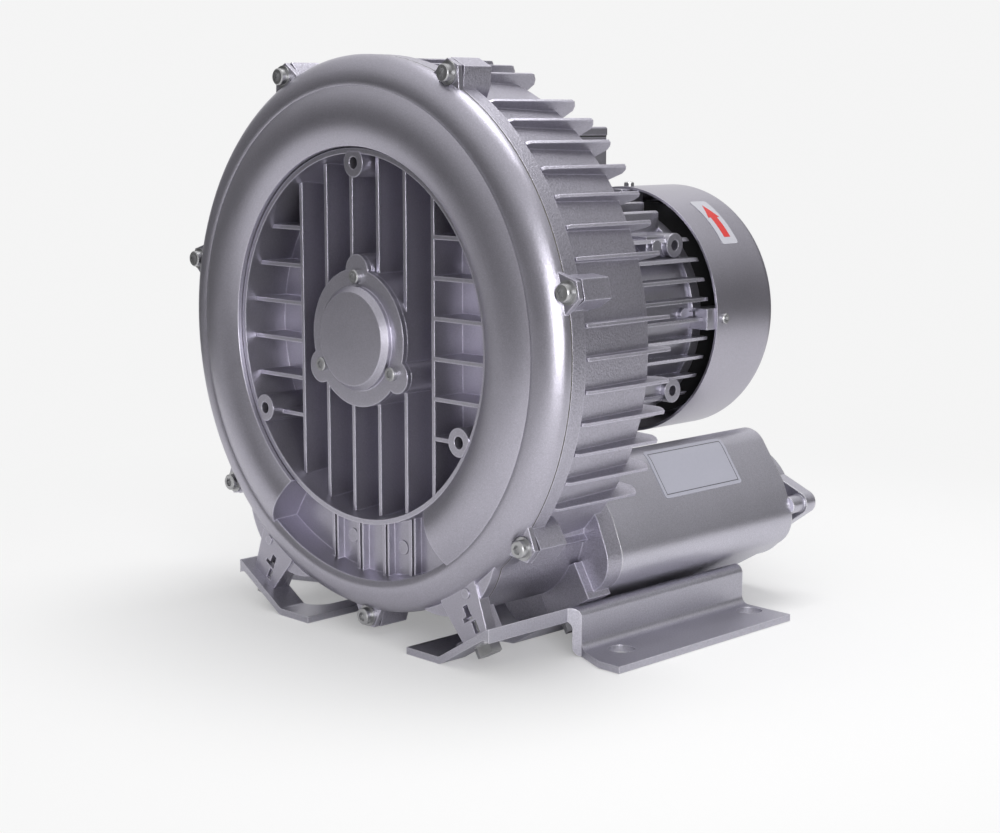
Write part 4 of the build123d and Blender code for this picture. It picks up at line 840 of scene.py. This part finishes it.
class BLOWER_OT_screws(bpy.types.Operator):
    """Put a chamfered socket head screw in each screw's place"""

    bl_idname = "blower.screws"
    bl_label = "Make screws"

    def execute(self, context):
        settings = context.scene.blower_screws
        grower = cap_screw_tree()
        for node, (way, head_height) in CAP_SCREWS.items():
            tops = []
            facings = []
            for piece in islands(NODES[node].data):
                middle = sum(piece, Vector()) / len(piece)
                facing = way(middle)
                reach = [point.dot(facing) for point in piece]
                low, high = min(reach), max(reach)
                across = [(point - facing * point.dot(facing)) for point in piece]
                centre = sum(across, Vector()) / len(across)
                head_radius = max((point - centre).length for point in across)
                tops.append(centre + facing * (high - head_height))
                facings.append(facing)
            values = {
                "Head radius": head_radius,
                "Head height": head_height,
                "Chamfer": settings.chamfer,
                "Key radius": head_radius * HEAD_TO_KEY,
                "Shank radius": head_radius * HEAD_TO_SHANK,
                "Shank length": high - low - head_height,
                "Sides": settings.sides,
                "Material": MATERIAL_OF["zinc"],
            }
            mesh = grown(node, grower, values, tops, facings)
            smooth_by_angle(mesh, 28.0)
            made = add_object(f"{node}_made", mesh, MATERIAL_OF["zinc"])
            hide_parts(node)
        return {"FINISHED"}


PORT_BORE_RADIUS = 28.3 * MM
THREADED_SHARE = 0.8               # of the flange's depth
PORT_PLACE = Vector((74.93 * MM, FLANGE_HIGH.y - 1.2 * MM, 54.61 * MM))


class BLOWER_OT_port_threads(bpy.types.Operator):
    """Cut the look of a pipe thread into both ports"""

    bl_idname = "blower.port_threads"
    bl_label = "Make port threads"

    def execute(self, context):
        settings = context.scene.blower_screws
        grower = pipe_thread_tree()
        depth = THREADED_SHARE * (FLANGE_HIGH.y - FLANGE_LOW.y)
        values = {
            "Radius": PORT_BORE_RADIUS,
            "Pitch": settings.thread_pitch,
            "Turns": depth / settings.thread_pitch,
            "Crest": settings.thread_depth,
            "Material": MATERIAL_OF["aluminium"],
        }
        for side, port in ((-1.0, "inlet"), (1.0, "outlet")):
            mesh = grown(f"{port}_thread", grower, values)
            for vert in mesh.vertices:
                x, y, z = vert.co
                vert.co = (side * PORT_PLACE.x + x, PORT_PLACE.y - z, PORT_PLACE.z + y)
            work = bmesh.new()
            work.from_mesh(mesh)
            bmesh.ops.recalc_face_normals(work, faces=work.faces)
            work.to_mesh(mesh)
            work.free()
            smooth_by_angle(mesh, 20.0)
            add_object(f"{port}_thread", mesh, MATERIAL_OF["aluminium"])
        return {"FINISHED"}


LABEL_SHIFT = 5.7 * MM             # label's middle past the silencer's, along it
LABEL_RISE = 13.8 * MM             # and across it, towards the shaft
LABEL_CORNER = 2.0 * MM
FRAME_INSET = 2.4 * MM             # label's edge to the printed frame
FRAME_HALF_LINE = 0.00028
ARROW_LABEL_CORNER = 1.8 * MM
ARROW_LIFT = 1.6                   # arrow's top over its label's, in thicknesses
ARROW_ANGLE = math.radians(47.8)   # round the shaft, from the right side up
ARROW_STATION = COWL_HIGH.y - 31.5 * MM


class BLOWER_OT_stickers(bpy.types.Operator):
    """Lay the blank label on the silencer and the turning arrow on the cowl"""

    bl_idname = "blower.stickers"
    bl_label = "Lay stickers"

    def execute(self, context):
        settings = context.scene.blower_stickers
        skin = skin_of("outlet_silencer_shell_dressed", context)

        def on_silencer(x, y):
            start = SILENCER_MIDDLE + ALONG * (LABEL_SHIFT + x) + TOWARDS_SHAFT * (LABEL_RISE + y)
            point, normal, _, _ = skin.ray_cast(start + RAY_START * ACROSS, -ACROSS)
            if point is None:
                raise RuntimeError("The label misses the silencer")
            return point, normal

        def on_cowl(x, y):
            angle = ARROW_ANGLE + x / COWL_RADIUS
            out = Vector((math.cos(angle), 0.0, math.sin(angle)))
            centre = Vector((0.0, ARROW_STATION + y, SHAFT_HEIGHT))
            return centre + out * COWL_RADIUS, out

        label = film(
            "blank_label",
            rounded_grid(settings.label_length, settings.label_height, LABEL_CORNER, 40, 24),
            settings.thickness,
            on_silencer,
        )
        frame_size = (settings.label_length / 2 - FRAME_INSET, settings.label_height / 2 - FRAME_INSET)
        paper = sticker_film("Blank label", settings.paper, 0.10, frame_size)
        add_object("blank_label", label, paper)
        arrow_label = film(
            "arrow_label",
            rounded_grid(
                settings.arrow_label_length, settings.arrow_label_width, ARROW_LABEL_CORNER, 30, 10
            ),
            settings.thickness,
            on_cowl,
        )
        add_object("arrow_label", arrow_label, sticker_film("Arrow label", settings.arrow_paper))
        arrow = film(
            "arrow",
            arrow_grid(settings.arrow_length, settings.arrow_width),
            ARROW_LIFT * settings.thickness,
            on_cowl,
        )
        add_object("turning_arrow", arrow, sticker_film("Red film", settings.arrow_red, 0.05))
        return {"FINISHED"}


# --- Studio -------------------------------------------------------------------------------
# name, place, size in metres, power in watts
LAMPS = (
    ("right", (1.5, -0.95, 0.4), 0.9, 18.0),
    ("top", (0.1, 0.3, 1.9), 1.0, 14.5),
)
# light of the room over the sine of the height: its floor, its walls, its ceiling
ROOM_LIGHT = ((0.0, 0.04), (0.25, 0.13), (0.6, 0.65), (1.0, 0.9))
BACKDROP_SIDE = (-0.72, 0.69, 0.0)  # way from the blower to the wall behind it
BACKDROP_EDGE = (0.80, 0.96)       # cosines between which that wall fades into the room
ROOM_SHARE = 0.08                  # backdrop that reflections keep on the room's other sides
FLOOR_GLOW = 0.30                  # share of the floor near the blower that is even backdrop
FLOOR_HALF_WIDTH = 0.9
FLOOR_FADE_START = 0.40            # where the floor starts to turn, as a share of clear_floor
FLOOR_GAP = 0.0002                 # floor under the feet
CAMERA_PLACE = Vector((0.7898, -0.7984, 0.2965))
CAMERA_AIM = Vector((0.10439, -0.127, 0.13992))


class BLOWER_OT_stage(bpy.types.Operator):
    """Set the floor, the lamps and the camera"""

    bl_idname = "blower.stage"
    bl_label = "Set the stage"

    def execute(self, context):
        settings = context.scene.blower_studio
        make_floor(settings)
        make_world(settings)
        make_lamps()
        make_camera(settings)
        return {"FINISHED"}


def seen_rays(finish, direction):
    """Share of the rays that meet the even backdrop.

    The eye's rays all do, and reflected ones fully only where they go behind the blower.
    """
    eye, through, mirrored = (
        finish.node("ShaderNodeLightPath", output=name)
        for name in ("Is Camera Ray", "Is Transmission Ray", "Is Glossy Ray")
    )
    level = finish.node(
        "ShaderNodeVectorMath", {"operation": "MULTIPLY"}, {0: direction, 1: (1.0, 1.0, 0.0)}
    )
    level = finish.node("ShaderNodeVectorMath", {"operation": "NORMALIZE"}, {0: level})
    start, end = BACKDROP_EDGE
    wall = finish.node(
        "ShaderNodeMapRange", {"interpolation_type": "SMOOTHSTEP"},
        {
            "Value": finish.dot(level, BACKDROP_SIDE), "From Min": start, "From Max": end,
            "To Min": ROOM_SHARE,
        },
    )
    share = eye + through + wall * mirrored
    return finish.node("ShaderNodeMath", {"operation": "MINIMUM"}, {0: share, 1: 1.0})


def make_floor(settings):
    """Floor that keeps the shadow near the blower and turns into the even backdrop further out."""
    finish = Finish("Backdrop")
    place = finish.place()
    reach = finish.node("ShaderNodeVectorMath", {"operation": "LENGTH"}, {0: place}, output=1)
    far = finish.node(
        "ShaderNodeMapRange", {"interpolation_type": "SMOOTHSTEP"},
        {
            "Value": reach, "From Min": FLOOR_FADE_START * settings.clear_floor,
            "From Max": settings.clear_floor,
        },
    )
    matt = finish.node("ShaderNodeBsdfDiffuse", {}, {"Color": (*settings.backdrop, 1.0)})
    even = finish.node("ShaderNodeEmission", {}, {"Color": (*settings.backdrop, 1.0), "Strength": 1.0})
    glow = FLOOR_GLOW + (1.0 - FLOOR_GLOW) * far
    blend = finish.node("ShaderNodeMixShader", {}, {0: glow, 1: matt, 2: even})
    shown = finish.node("ShaderNodeMixShader", {}, {0: seen_rays(finish, place), 1: matt, 2: blend})
    finish.node("ShaderNodeOutputMaterial", {}, {"Surface": shown})
    work = bmesh.new()
    bmesh.ops.create_grid(work, x_segments=1, y_segments=1, size=FLOOR_HALF_WIDTH)
    mesh = bpy.data.meshes.new("floor")
    work.to_mesh(mesh)
    work.free()
    mesh.materials.append(finish.material)
    floor = bpy.data.objects.new("floor", mesh)
    bpy.context.scene.collection.objects.link(floor)
    floor.location.z = -FLOOR_GAP


def make_world(settings):
    """Even backdrop to the eye, and a softer, darker horizon as a light."""
    world = bpy.data.worlds.new("studio")
    bpy.context.scene.world = world
    world.use_nodes = True
    world.node_tree.nodes.clear()
    room = Finish.on_tree(world.node_tree)
    direction = room.node("ShaderNodeTexCoord")
    parted = room.node("ShaderNodeSeparateXYZ", {}, {0: direction}, output=2)
    level = room.ramp(parted, *ROOM_LIGHT)
    light = room.node("ShaderNodeBackground", {}, {"Color": level, "Strength": 1.0})
    wall = room.node("ShaderNodeBackground", {}, {"Color": (*settings.backdrop, 1.0), "Strength": 1.0})
    shown = room.node("ShaderNodeMixShader", {}, {0: seen_rays(room, direction), 1: light, 2: wall})
    room.node("ShaderNodeOutputWorld", {}, {"Surface": shown})


def make_lamps():
    target = Vector((0.0, 0.0, SHAFT_HEIGHT))
    for name, place, size, power in LAMPS:
        light = bpy.data.lights.new(name, "AREA")
        light.shape = "SQUARE"
        light.size = size
        light.energy = power
        lamp = bpy.data.objects.new(name, light)
        bpy.context.scene.collection.objects.link(lamp)
        lamp.location = place
        lamp.rotation_euler = (target - lamp.location).to_track_quat("-Z", "Y").to_euler()


def make_camera(settings):
    lens = bpy.data.cameras.new("camera")
    lens.lens = settings.lens
    lens.sensor_width = 36.0
    camera = bpy.data.objects.new("camera", lens)
    bpy.context.scene.collection.objects.link(camera)
    camera.location = CAMERA_PLACE
    camera.rotation_euler = (CAMERA_AIM - CAMERA_PLACE).to_track_quat("-Z", "Y").to_euler()
    bpy.context.scene.camera = camera


class BLOWER_PT_panel(bpy.types.Panel):
    """Lists the blower's settings and steps"""

    bl_label = "Blower"
    bl_idname = "BLOWER_PT_panel"
    bl_space_type = "VIEW_3D"
    bl_region_type = "UI"
    bl_category = "Blower"

    def draw(self, context):
        for group in SETTINGS:
            settings = getattr(context.scene, group)
            for name in settings.__annotations__:
                self.layout.prop(settings, name)
        for operator in OPERATORS:
            self.layout.operator(operator.bl_idname)


OPERATORS = (
    BLOWER_OT_finish,
    BLOWER_OT_castings,
    BLOWER_OT_pin_marks,
    BLOWER_OT_screws,
    BLOWER_OT_port_threads,
    BLOWER_OT_stickers,
    BLOWER_OT_stage,
)
SETTINGS = {
    "blower_finish": BlowerFinishSettings,
    "blower_screws": BlowerScrewSettings,
    "blower_stickers": BlowerStickerSettings,
    "blower_studio": BlowerStudioSettings,
}


def register():
    for group in SETTINGS.values():
        bpy.utils.register_class(group)
    for name, group in SETTINGS.items():
        setattr(bpy.types.Scene, name, bpy.props.PointerProperty(type=group))
    for cls in (*OPERATORS, BLOWER_PT_panel):
        bpy.utils.register_class(cls)


def unregister():
    for cls in (BLOWER_PT_panel, *reversed(OPERATORS)):
        bpy.utils.unregister_class(cls)
    for name, group in SETTINGS.items():
        delattr(bpy.types.Scene, name)
        bpy.utils.unregister_class(group)


def main():
    register()
    bpy.context.scene.view_settings.view_transform = "Standard"
    bpy.ops.blower.finish()
    bpy.ops.blower.castings()
    bpy.ops.blower.pin_marks()
    bpy.ops.blower.screws()
    bpy.ops.blower.port_threads()
    bpy.ops.blower.stickers()
    bpy.ops.blower.stage()


if __name__ == "__main__":
    main()
